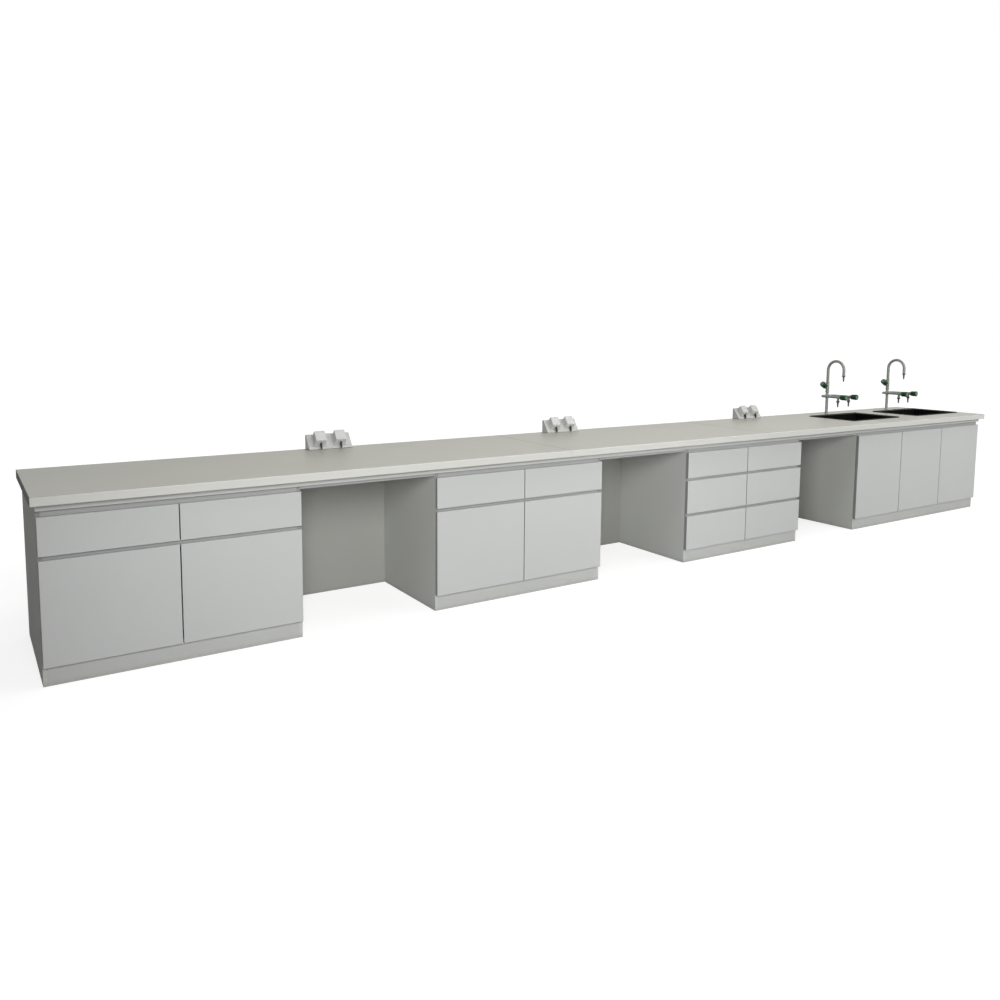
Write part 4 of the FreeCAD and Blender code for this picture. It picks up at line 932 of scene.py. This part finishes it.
@dataclass
class Boards:
    """The boards of the carcasses, the worktop and the strips under its edge."""

    nodes: dict[str, bpy.types.Object]
    edge: float = 0.0008
    worktop_edge: float = 0.0005
    seams: tuple[float, ...] = (-0.8465, 0.8335)
    seam_width: float = 0.0026
    seam_depth: float = 0.02
    bead: float = 0.0004
    seam_start: float = 0.004
    seam_end: float = 0.001
    apron_height: float = 0.1
    top: float = 0.8
    half_depth: float = 0.4

    def build(self) -> None:
        """Builds every board and the sealed seams."""
        kinds = {
            "fascia_strips": CARCASS_BOARD, "carcass_sides": SIDE_LIT_BOARD, "carcass_floors": CARCASS_BOARD,
            "plinth_boards": CARCASS_BOARD, "carcass_backs": CARCASS_BOARD, "carcass_rails": RAIL_SHADE_BOARD,
            "carcass_partitions": SIDE_LIT_BOARD, "knee_space_boards": KNEE_SHADE_BOARD,
        }
        for node, finish in kinds.items():
            self.dress(node, finish, "white_laminate", self.edge)
        for node in ("worktop_left", "worktop_middle", "worktop_right"):
            self.dress(node, WORKTOP, "worktop_laminate", self.worktop_edge)
        self.seal()

    def dress(self, node: str, finish: Finish, slot: str, edge: float) -> None:
        """Dresses the boards of one node; the low aprons of the knee spaces get the rails' painted shade."""
        draft = Draft()
        for shell in shells_of(self.nodes[node]):
            apron = finish is KNEE_SHADE_BOARD and shell.extent.z < self.apron_height
            # Painted shade: the low aprons take the rails' dark grey.
            draft.take(shell, RAIL_SHADE_BOARD if apron else finish, edge)
        draft.piece(f"{node}_piece", ROOT, slot, [node])

    def seal(self) -> None:
        """Lays a flat bead of sealant in each seam of the worktop."""
        draft = Draft()
        half = self.seam_width / 2.0
        section = [(-half, 0.0), (-half * 0.5, self.bead), (half * 0.5, self.bead), (half, 0.0),
                   (half * 0.1, -self.seam_depth), (-half * 0.1, -self.seam_depth)]
        run = (-self.half_depth + self.seam_start, self.half_depth - self.seam_end)
        for x in self.seams:
            rings = [[Vector((x + across, y, self.top + up)) for across, up in section] for y in run]
            draft.skin(rings, SEALANT)
        draft.piece("worktop_seams", ROOT, "worktop_laminate")


@dataclass
class Fronts:
    """The drawers and the doors, with the hardware that carries them."""

    nodes: dict[str, bpy.types.Object]
    joints: list[dict[str, Any]]
    screws: Shaper
    edge: float = 0.001
    box_edge: float = 0.0006
    steel_edge: float = 0.0003
    hinge_edge: float = 0.0065
    plate_face: float = 0.0175
    plate_middle: float = -0.3145
    hinge_inset: float = 0.09
    screw_spread: float = 0.01
    thin_board: float = 0.008
    bar_height: float = 0.033
    bar_width: float = 0.0125

    def build(self) -> None:
        """Builds all drawers and doors, the runners and the hinge arms."""
        for joint in self.joints:
            child = joint["child"]
            if child.endswith("_drawer"):
                self.drawer(child)
            elif child.endswith("_door"):
                self.door(child)
        self.hardware()

    def drawer(self, name: str) -> None:
        """Dresses one drawer: its front, and its box with the slide bars."""
        front = Draft()
        for shell in shells_of(self.nodes[f"{name}_front"]):
            # The side edges take the painted shade of the gaps between fronts.
            front.take(shell, FRONT_BOARD, self.edge, segments=3, ends=FRONT_GAP_SHADE)
        front.piece(f"{name}_panel", name, "white_laminate", [f"{name}_front"])
        box = Draft()
        for shell in shells_of(self.nodes[f"{name}_box"]):
            extent = shell.extent
            if extent.z < self.thin_board:
                box.take(shell, DRAWER_BOTTOM)
            elif extent.x < self.bar_width and extent.z < self.bar_height:
                box.take(shell, ZINC, self.box_edge)
            else:
                box.take(shell, DRAWER_BOARD, self.box_edge)
        box.piece(f"{name}_tray", name, "white_laminate", [f"{name}_box"])

    def door(self, name: str) -> None:
        """Dresses one door: its board, and the cups and pins of its hinges."""
        draft = Draft()
        shells = sorted(shells_of(self.nodes[name]), key=lambda shell: -shell.extent.length)
        # The side edges take the painted shade of the gaps between fronts.
        draft.take(shells[0], FRONT_BOARD, self.edge, segments=3, ends=FRONT_GAP_SHADE)
        for shell in shells[1:]:
            draft.take(shell, ZINC, self.steel_edge)
        draft.piece(f"{name}_panel", name, "white_laminate", [name])

    def hardware(self) -> None:
        """Dresses the runners and hinge arms, and screws the hinge plates to the carcass."""
        for node in ("runner_channels", "hinge_arms"):
            draft = Draft()
            for shell in shells_of(self.nodes[node]):
                draft.take(shell, ZINC, self.steel_edge)
            draft.piece(f"{node}_piece", ROOT, "zinc_steel", [node])
        places, facing = [], []
        for joint in self.joints:
            if not joint["child"].endswith("_door"):
                continue
            sign = -joint["axis"][2]
            low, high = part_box(joint["child"])
            x = joint["pos_m"][0] + sign * (self.plate_face - self.hinge_edge)
            for level in (low.z + self.hinge_inset, high.z - self.hinge_inset):
                for offset in (-self.screw_spread, self.screw_spread):
                    places.append(Vector((x, self.plate_middle, level + offset)))
                    facing.append(Vector((sign, 0.0, 0.0)))
        draft = Draft()
        draft.shape(self.screws, point_mesh(places, facing=facing), ZINC)
        draft.piece("hinge_screws", ROOT, "zinc_steel")


@dataclass
class Sinks:
    """The two black drop-in sinks with their wastes and traps."""

    spokes: Shaper
    places: tuple[Vector, ...] = (Vector((2.3225, -0.003, 0.8)), Vector((3.1655, -0.003, 0.8)))
    half_length: float = 0.299
    half_width: float = 0.206
    corner: float = 0.014
    rim_height: float = 0.007
    rim: float = 0.024
    lip: float = 0.007
    lip_height: float = 0.004
    depth: float = 0.3
    draft_in: float = 0.014
    bowl_corner: float = 0.016
    wall: float = 0.005
    floor_round: float = 0.02
    floor_steps: int = 6
    fall: float = 0.0005
    fall_step: float = 0.05
    base_ring: float = 0.03
    base_edge: float = 0.003
    least_corner: float = 0.002
    soft: float = 0.0012
    spoke_lift: float = 0.0004
    trap_outlet: float = 0.085

    def build(self) -> None:
        """Builds both sinks and their wastes."""
        bowls, wastes = Draft(), Draft()
        for place in self.places:
            self.bowl(bowls, place)
            self.waste(wastes, place)
        bowls.piece("sinks_piece", ROOT, "black_polymer", ["sinks"])
        wastes.piece("sink_wastes_piece", ROOT, "grey_polymer", ["sink_wastes"])

    def ring(self, place: Vector, inset: float, radius: float, height: float) -> Ring:
        """A rounded outline of the sink, an inset in from its rim, at a height over the worktop."""
        return rounded_ring(place + upward(height), self.half_length - inset, self.half_width - inset,
                            max(radius, self.least_corner))

    def bowl(self, draft: Draft, place: Vector) -> None:
        """Adds one sink as a closed shell: up the outside to the rim, and down the inside to the floor."""
        high, ledge, soft = self.rim_height, self.rim_height - self.lip_height, self.soft
        inner = self.rim + self.wall
        inner_corner = self.bowl_corner - self.wall
        floor = self.wall - self.depth
        outer_base = self.rim + self.draft_in
        slope = self.draft_in / (self.depth + high)
        rings = [[place - upward(self.depth)]]
        # Each row is an inset from the outline of the rim, a corner radius and a height over the worktop.
        outside = [
            (outer_base + self.base_ring, self.bowl_corner, -self.depth),
            (outer_base + self.base_edge, self.bowl_corner, -self.depth),
            (outer_base, self.bowl_corner, -self.depth + self.base_edge),
            (self.rim, self.bowl_corner, 0.0),
            (soft, self.corner, 0.0), (0.0, self.corner, soft),
            (0.0, self.corner, high - 2.0 * soft), (soft * 0.6, self.corner, high - soft * 0.6),
            (2.0 * soft, self.corner - soft, high),
        ]
        inside = [
            (self.lip - 2.0 * soft, self.corner - soft * 3.0, high),
            (self.lip - soft * 0.6, self.corner - self.lip / 2.0, high - soft * 0.6),
            (self.lip, self.corner - self.lip / 2.0, high - 2.0 * soft),
            (self.lip, self.corner - self.lip / 2.0, ledge + soft),
            (self.lip + soft, self.corner - self.lip / 2.0, ledge),
            (inner - 4.0 * soft, inner_corner, ledge),
            (inner - soft, inner_corner, ledge - soft), (inner, inner_corner, ledge - 4.0 * soft),
        ]
        for step in range(self.floor_steps + 1):
            angle = math.radians(90.0 * step / self.floor_steps)
            up = self.floor_round * (1.0 - math.sin(angle))
            across = self.floor_round * (1.0 - math.cos(angle))
            inset = inner + slope * (ledge - floor - up) + across
            inside.append((inset, inner_corner + across * 0.3, floor + up))
        last = inside[-1][0]
        inside += [(last + self.fall_step * row, inner_corner, floor - self.fall * row) for row in (1, 2)]
        rings += [self.ring(place, inset, radius, height) for inset, radius, height in outside + inside]
        rings.append([place + upward(floor - self.fall * 3)])
        draft.skin(rings, BASIN)

    def waste(self, draft: Draft, place: Vector) -> None:
        """Adds one strainer waste with its nut and bottle trap."""
        floor = place + upward(self.wall - self.depth)
        base = place - upward(self.depth)
        at_floor, at_base = Matrix.Translation(floor), Matrix.Translation(base)
        ring = in_mm((17, -1.2), (17, 0.8), (24, 2), (31, 2.5), (34, 0.4), (34, -1.2))
        plate = in_mm((0, -1), (17, -1)) + rounded(ring, radius=0.0012)[1:] + in_mm((0, -1.2))
        hub = rounded(in_mm((0, 1.8), (5, 1.8), (6, -0.2)), radius=0.001) + in_mm((0, -0.2))
        draft.turn(plate, STRAINER_STEEL, at_floor, steps=48)
        draft.turn(hub, STRAINER_STEEL, at_floor, steps=24)
        spoke = point_mesh([floor + upward(self.spoke_lift)])
        draft.shape(self.spokes, spoke, STRAINER_STEEL)
        tube = in_mm((0, 0), (20, 0), (20, -70), (0, -70))
        nut = in_mm((0, 0), (30, 0), (30, -10), (0, -10))
        bottle = in_mm((0, -40), (26, -40), (28, -44), (28, -54), (31.5, -56), (32, -110), (30, -112),
                       (32, -116), (32, -138), (26, -150), (0, -150))
        outlet = in_mm((0, 20), (20, 20), (20, 58), (22.5, 60), (22.5, 70), (16, 70), (16, 150), (14, 150),
                       (14, 100), (0, 100))
        level = Matrix.Translation(base - upward(self.trap_outlet))
        aside = level @ Matrix.Rotation(math.radians(-90.0), 4, "X")
        for profile, radius, at, steps in ((tube, 0.001, at_base, 36), (nut, 0.0015, at_base, 12),
                                           (bottle, 0.003, at_base, 40), (outlet, 0.001, aside, 36)):
            draft.turn(rounded(profile, radius), PIPE_POLYMER, at, steps)


@dataclass
class Tap:
    """One three-way tap: column, cross bar with two valve arms, upper valve and gooseneck spout."""

    name: str
    base: Vector
    pipes: Shaper
    ribs: Shaper
    knobs: Shaper
    level: float = 0.151
    half_bar: float = 0.07
    reach: float = 0.155
    arm_end: float = 0.164
    bonnet_end: float = 0.185
    arm_radius: float = 0.01
    outlet_drop: float = 0.03
    collar_height: float = 0.013
    knob_level: float = 0.211
    knob_tilt: float = 32.0
    knob_stem: float = 0.036
    upper_top: float = 0.262
    spout_root: float = 0.0257
    spout_radius: float = 0.0115
    spout_reach: float = 0.148
    spout_apex: float = 0.43994
    spout_end: float = 0.327
    spout_steps: int = 22
    gap: float = 0.0003

    def at(self, x: float = 0.0, y: float = 0.0, z: float = 0.0) -> Matrix:
        """A place on the tap, as an upright frame."""
        return Matrix.Translation(self.base + Vector((x, y, z)))

    def knob_frame(self, side: Side | None) -> Matrix:
        """The frame of a knob: its axis is Z, its inner face is at zero, and no side is the upper knob."""
        if side is None:
            turned = Matrix.Rotation(math.radians(self.knob_tilt - 90.0), 4, "Y")
            return self.at(z=self.knob_level) @ turned @ Matrix.Translation(upward(self.knob_stem))
        forward = Matrix.Rotation(math.radians(90.0), 4, "X")
        return self.at(self.half_bar * side.value, -self.bonnet_end, self.level) @ forward

    def column(self, draft: Draft) -> None:
        """Adds the column with its foot, and the shank and lock nut under the worktop."""
        tube = in_mm((0, -110), (7, -110), (7, -70), (9, -70), (9, -1), (17, -1), (17, 1.6), (13.2, 3),
                     (11.6, 7.5), (11.3, 12.5), (11.3, 136), (0, 136))
        draft.turn(rounded(tube, radius=0.0008), TAP_COAT, self.at(), steps=40)
        nut = in_mm((0, -49), (15.5, -49), (16.8, -47.8), (16.8, -41.8), (15.5, -40.5), (0, -40.5))
        draft.turn(nut, ZINC, self.at(), steps=6)

    def valves(self, draft: Draft) -> None:
        """Adds the cross bar, its arms and outlets, and the upper valve body."""
        run = [Vector((self.half_bar * x, y, self.level)) + self.base
               for x, y in ((-1, -self.arm_end), (-1, 0.0), (1, 0.0), (1, -self.arm_end))]
        draft.shape(self.pipes, path_mesh(run), TAP_COAT, Radius=self.arm_radius)
        tee = in_mm((0, 135), (13.2, 135), (14.5, 137), (14.5, 147), (14, 151), (14.5, 155), (14.5, 165),
                    (13.2, 167), (11.3, 167.5), (11.3, 180), (15.4, 180), (16, 182), (16, 189), (15.2, 191),
                    (13, 191.5), (12.6, 195), (14, 199), (14, 247), (13.2, 250), (13.2, 253), (14, 255),
                    (14, 260.5), (13, 262), (0, 262))
        draft.turn(rounded(tee, radius=0.0009), TAP_COAT, self.at(), steps=44)
        boss = in_mm((0, -36), (11.8, -36), (11.8, -16), (13, -14), (13, -4), (10.5, 0), (0, 0))
        draft.turn(rounded(boss, radius=0.001), TAP_COAT, self.knob_frame(None), steps=36)
        bonnet = in_mm((0, -24), (11.5, -24), (13, -21), (13, -12), (12.2, -10.5), (12.2, -8), (13, -6.5),
                       (13, -2), (11.5, 0), (0, 0))
        outlet = in_mm((0, 0), (10.2, 0), (9, -6), (9, -30), (0, -30))
        for side in Side:
            draft.turn(rounded(bonnet, radius=0.0008), TAP_COAT, self.knob_frame(side), steps=36)
            place = self.at(self.half_bar * side.value, -self.reach, self.level)
            draft.turn(rounded(outlet, radius=0.001), TAP_COAT, place, steps=28)
            self.nozzle(draft, place.translation - upward(self.outlet_drop))

    def nozzle(self, draft: Draft, top: Vector) -> None:
        """Adds a ribbed hose nozzle with its union collar, hanging from a point."""
        collar = in_mm((0, 0), (11.6, 0), (13, -1.6), (13, -10.5), (10.6, -13), (0, -13))
        draft.turn(rounded(collar, radius=0.0006), NOZZLE_POLYMER, Matrix.Translation(top), steps=28)
        hang = top - upward(self.collar_height)
        draft.shape(self.ribs, point_mesh([hang]), NOZZLE_POLYMER)
        core = in_mm((0, 0), (6, 0), (4.2, -37), (3.8, -38), (3, -38), (3, -28), (0, -28))
        draft.turn(core, NOZZLE_POLYMER, Matrix.Translation(hang), steps=24)

    def moving(self) -> None:
        """Builds the spout and the three knobs, each on its own body."""
        spout = Draft()
        reach, apex = self.spout_reach, self.spout_apex
        root = self.upper_top - self.spout_root
        corners = ((0.0, root), (0.0, apex), (-reach, apex), (-reach, self.spout_end))
        run = path_mesh([self.base + Vector((0.0, y, z)) for y, z in corners])
        spout.shape(self.pipes, run, TAP_COAT, Radius=self.spout_radius, Elbow=reach / 2.0,
                    Elbow_Steps=self.spout_steps)
        collar = in_mm((0, 0), (13.2, 0), (14, 1), (14, 6), (12.5, 8), (0, 8))
        spout.turn(rounded(collar, radius=0.0005), TAP_COAT, self.at(z=self.upper_top + self.gap), steps=36)
        self.nozzle(spout, self.base + Vector((0.0, -reach, self.spout_end)))
        node = f"{self.name}_spout"
        spout.piece(f"{node}_piece", node, "tap_coat", [node])
        for label, side in (("left", Side.LEFT), ("right", Side.RIGHT), ("upper", None)):
            self.knob(f"{self.name}_{label}_knob", self.knob_frame(side))

    def knob(self, node: str, frame: Matrix) -> None:
        """Builds one lobed knob with its end cap and its stem."""
        draft = Draft()
        seat = frame @ Matrix.Translation(upward(self.gap))
        draft.shape(self.knobs, point_mesh([Vector()]), KNOB_POLYMER, at=seat)
        cap = in_mm((0, 45.5), (15, 45.5), (15, 46.1), (14.4, 46.4), (10.5, 46.4), (10.1, 46.2), (0, 46.2))
        # The cap's paler green is partly a painted highlight on the knob's end.
        draft.turn(rounded(cap, radius=0.0002), KNOB_CAP_HIGHLIGHT, seat, steps=36)
        stem = in_mm((0, -23.4), (4, -23.4), (4, 1), (0, 1))
        draft.turn(rounded(stem, radius=0.0005), ZINC, seat, steps=20)
        draft.piece(f"{node}_piece", node, "green_polymer", [node])


@dataclass
class Sockets:
    """The double socket pedestals along the back edge, with their flip covers."""

    nodes: dict[str, bpy.types.Object]
    pipes: Shaper
    screws: Shaper
    pedestal_edge: float = 0.003
    plate_edge: float = 0.0008
    cover_edge: float = 0.0045
    tab_edge: float = 0.0009
    back: float = 0.4
    top: float = 0.8
    rise: float = 0.08
    run: float = 0.059
    foot: float = 0.071
    margin: float = 0.002
    plate_side: float = 0.076
    face_level: float = 0.0355
    tab_width: float = 0.012
    screw_spread: float = 0.027
    screw_level: float = 0.0039
    screw_radius: float = 0.0019
    screw_height: float = 0.0009
    contact_pitch: float = 0.019
    ridge_half: tuple[float, float] = (0.014, 0.011)
    ridge_start: float = 200.0
    ridge_sweep: float = 140.0
    ridge_steps: int = 12
    ridge_middle: float = -0.002
    ridge_level: float = 0.0358
    ridge_radius: float = 0.0012

    @property
    def slope(self) -> float:
        """The angle of the sloped face over the worktop."""
        return math.atan2(self.rise, self.run)

    def seat(self, x: float) -> Matrix:
        """The frame of a plate: X along the bench, Y up the slope, Z out of it."""
        length = math.hypot(self.rise, self.run)
        share = (length - self.margin - self.plate_side / 2.0) / length
        middle = Vector((x, self.back - self.foot + self.run * share, self.top + self.rise * share))
        return Matrix.Translation(middle) @ Matrix.Rotation(self.slope, 4, "X")

    def build(self) -> None:
        """Builds the pedestals, their plates and every cover."""
        standing = Draft()
        for shell in shells_of(self.nodes["socket_pedestals"]):
            standing.take(shell, PEDESTAL_POLYMER, self.pedestal_edge, segments=3,
                          chosen=self.on_outside(shell))
        standing.piece("socket_pedestals_piece", ROOT, "socket_polymer", ["socket_pedestals"])
        plates = Draft()
        places, facing = [], []
        for shell in shells_of(self.nodes["socket_plates"]):
            plates.take(shell, PLATE_POLYMER, self.plate_edge)
            seat = self.seat((shell.low.x + shell.high.x) / 2.0)
            self.contacts(plates, seat)
            spread = (-self.screw_spread, self.screw_spread)
            places += [seat @ Vector((x, y, self.screw_level)) for x in spread for y in spread]
            facing += [seat.to_3x3() @ upward(1.0)] * 4
        plates.shape(self.screws, point_mesh(places, facing=facing), ZINC, Radius=self.screw_radius,
                     Height=self.screw_height)
        plates.piece("socket_plates_piece", ROOT, "socket_polymer", ["socket_plates"])
        for name in sorted(self.nodes):
            if name.endswith("_cover"):
                self.cover(name)

    def on_outside(self, shell: Shell) -> Callable[[bmesh.types.BMEdge], bool]:
        """Tells the long outer edges of a pedestal, which are rounded, from those of its openings."""
        low, high = shell.low, shell.high

        def outer(edge: bmesh.types.BMEdge) -> bool:
            """Tells whether an edge lies on an end of the pedestal, off the worktop."""
            ends = [vertex.co for vertex in edge.verts]
            on_side = [min(abs(end.x - low.x), abs(end.x - high.x)) < 1e-5 for end in ends]
            raised = [end.z > low.z + 1e-5 for end in ends]
            return all(on_side) and any(raised)

        return outer

    def contacts(self, draft: Draft, seat: Matrix) -> None:
        """Adds the two contact sleeves of a socket, sunk in the floor of its well."""
        sleeve = in_mm((0, -13.5), (2.4, -13.5), (2.4, -9.8), (1.8, -9.8), (1.8, -13), (0, -13))
        for side in Side:
            at = seat @ Matrix.Translation((self.contact_pitch / 2 * side.value, 0, 0))
            draft.turn(sleeve, CONTACT_BRASS, at, steps=16)

    def cover(self, name: str) -> None:
        """Builds one flip cover: a rounded hood with a thumb ridge, and the tab under it."""
        low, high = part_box(name)
        seat = self.seat((low.x + high.x) / 2.0)
        back = seat.inverted()

        def raised(edge: bmesh.types.BMEdge) -> bool:
            """Tells an edge of the hood's face from those of its open back."""
            return any((back @ vertex.co).z > self.face_level for vertex in edge.verts)

        draft = Draft()
        for shell in shells_of(self.nodes[name]):
            if shell.extent.x < self.tab_width:
                draft.take(shell, TAB_RUBBER, self.tab_edge)
                continue
            draft.take(shell, COVER_POLYMER, self.cover_edge, segments=4, chosen=raised)
        wide, tall = self.ridge_half
        ridge = []
        for step in range(self.ridge_steps + 1):
            angle = math.radians(self.ridge_start + self.ridge_sweep * step / self.ridge_steps)
            along = self.ridge_middle + tall * math.sin(angle)
            ridge.append(seat @ Vector((wide * math.cos(angle), along, self.ridge_level)))
        draft.shape(self.pipes, path_mesh(ridge), COVER_POLYMER, Radius=self.ridge_radius, Elbow=0.001,
                    Sides=8, Elbow_Steps=1)
        draft.piece(f"{name}_piece", name, "socket_polymer", [name])


@dataclass(frozen=True)
class Lamp:
    """One rectangular lamp that faces a target; its power is in watts, its cone of light in degrees."""

    name: str
    place: Place
    target: Place
    sides: tuple[float, float]
    power: float
    spread: float = 180.0

    def hang(self) -> None:
        """Hangs the lamp in its place."""
        data = bpy.data.lights.new(self.name, "AREA")
        data.shape = "RECTANGLE"
        data.size, data.size_y = self.sides
        data.energy = self.power
        data.spread = math.radians(self.spread)
        lamp = add_object(self.name, data)
        lamp.location = self.place
        ahead = Vector(self.target) - Vector(self.place)
        lamp.rotation_euler = ahead.to_track_quat("-Z", "Y").to_euler()


LAMPS = (
    Lamp("front_left", place=(-3.5, -4.6, 2.5), target=(-3.3, 0.0, 0.4), sides=(1.2, 1.8), power=72.0),
    Lamp("front_middle", place=(0.3, -4.9, 1.2), target=(-0.2, 0.2, 0.35), sides=(1.2, 0.9), power=1.2,
         spread=34.0),
    Lamp("front_right", place=(3.7, -4.8, 2.4), target=(3.3, 0.0, 0.4), sides=(3.2, 1.8), power=144.0),
    Lamp("side", place=(-3.45, -3.5, 1.6), target=(0.0, -3.2, 0.9), sides=(1.6, 1.4), power=112.0),
    Lamp("ceiling", place=(0.9, -0.9, 3.6), target=(0.9, 0.1, 0.8), sides=(7.0, 1.2), power=76.0),
)


@dataclass
class Studio:
    """The plain room around the bench: pale floor, soft lamps, white background and the photograph's view."""

    focal: float = 847.48
    frame_side: float = 1000.0
    centre: tuple[float, float] = (500.34, 420.81)
    yaw: float = 32.908
    pitch: float = 5.969
    roll: float = -0.389
    position: Vector = field(default_factory=lambda: Vector((-3.7603, -4.1560, 1.4595)))
    sensor: float = 36.0
    far: float = 200.0
    floor_half: float = 60.0
    fade_length: float = 6.5
    fade_depth: float = 3.2
    shadow_share: float = 0.2
    floor_colour: Colour = (0.3, 0.3, 0.295)
    room_level: float = 0.26
    wall_level: float = 0.3
    left_shade: float = 0.97

    def build(self) -> None:
        """Builds the camera, the floor, the world and the lamps."""
        self.camera()
        self.floor()
        self.world()
        for lamp in LAMPS:
            lamp.hang()
        bpy.context.scene.view_settings.view_transform = "Standard"

    def camera(self) -> None:
        """Sets the camera where the photograph was taken."""
        data = bpy.data.cameras.new("photograph_view")
        data.sensor_width = self.sensor
        data.lens = self.focal / self.frame_side * self.sensor
        data.shift_x = 0.5 - self.centre[0] / self.frame_side
        data.shift_y = self.centre[1] / self.frame_side - 0.5
        data.clip_end = self.far
        pose = Matrix.Translation(self.position)
        for angle, axis in ((-self.yaw, "Z"), (90.0 - self.pitch, "X"), (-self.roll, "Z")):
            pose = pose @ Matrix.Rotation(math.radians(angle), 4, axis)
        camera = add_object("photograph_view", data)
        camera.matrix_world = pose
        bpy.context.scene.camera = camera

    def floor(self) -> None:
        """Lays the pale floor, which camera and mirror rays see as near white."""
        side = self.floor_half
        mesh = bpy.data.meshes.new("floor")
        corners = [(-side, -side, 0.0), (side, -side, 0.0), (side, side, 0.0), (-side, side, 0.0)]
        mesh.from_pydata(corners, [], [(0, 1, 2, 3)])
        floor = add_object("floor", mesh)
        material = bpy.data.materials.new("studio_floor")
        graph = Graph.start(material)
        matt = graph.add("ShaderNodeBsdfDiffuse", sockets={"Color": (*self.floor_colour, 1.0)})
        place = graph.place()
        across, along = graph.axis(place, "X") / self.fade_length, graph.axis(place, "Y") / self.fade_depth
        near = (across * across + along * along).below(0.2, soft=0.8)
        level = graph.seen_rays() * (1.0 - near * self.shadow_share)
        glow = graph.add("ShaderNodeEmission", sockets={"Color": WHITE, "Strength": level})
        mixed = graph.add("ShaderNodeAddShader", sockets={0: matt, 1: glow})
        graph.end("ShaderNodeOutputMaterial", mixed)
        mesh.materials.append(material)

    def world(self) -> None:
        """Lights the room softly, with a white background for the rays that show it."""
        world = bpy.data.worlds.new("room")
        graph = Graph.start(world)
        toward = graph.add("ShaderNodeTexCoord", out="Generated")
        # More light comes from the wall's side, and hardly any from the left end.
        left = graph.axis(toward, "X").below(-0.5, soft=1.0)
        behind = 1.0 - graph.axis(toward, "Y").below(0.0, soft=0.5)
        level = (behind * self.wall_level + self.room_level) * (1.0 - left * self.left_shade)
        dim = graph.add("ShaderNodeBackground", sockets={"Color": WHITE, "Strength": level})
        white = graph.add("ShaderNodeBackground", sockets={"Color": WHITE, "Strength": 1.0})
        mixed = graph.add("ShaderNodeMixShader", sockets={0: graph.seen_rays(), 1: dim, 2: white})
        graph.end("ShaderNodeOutputWorld", mixed)
        bpy.context.scene.world = world


def main() -> None:
    """Builds every sub-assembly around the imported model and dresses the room."""
    logging.basicConfig(level=logging.INFO, format="%(name)s: %(message)s")
    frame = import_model()
    nodes, joints = frame["nodes"], frame["joints"]
    pipes, ribs, knobs, screws = pipe_shaper(), rib_shaper(), knob_shaper(), screw_shaper()
    Boards(nodes).build()
    Fronts(nodes, joints, screws).build()
    Sinks(spoke_shaper()).build()
    columns, valves = Draft(), Draft()
    for joint in joints:
        if joint["child"].endswith("_spout"):
            x, y, _ = joint["pos_m"]
            tap = Tap(joint["child"].removesuffix("_spout"), Vector((x, y, Boards.top)), pipes, ribs, knobs)
            tap.column(columns)
            tap.valves(valves)
            tap.moving()
    columns.piece("tap_columns_piece", ROOT, "tap_coat", ["tap_columns"])
    valves.piece("tap_valve_bodies_piece", ROOT, "tap_coat", ["tap_valve_bodies"])
    Sockets(nodes, pipes, screws).build()
    Studio().build()


if __name__ == "__main__":
    main()
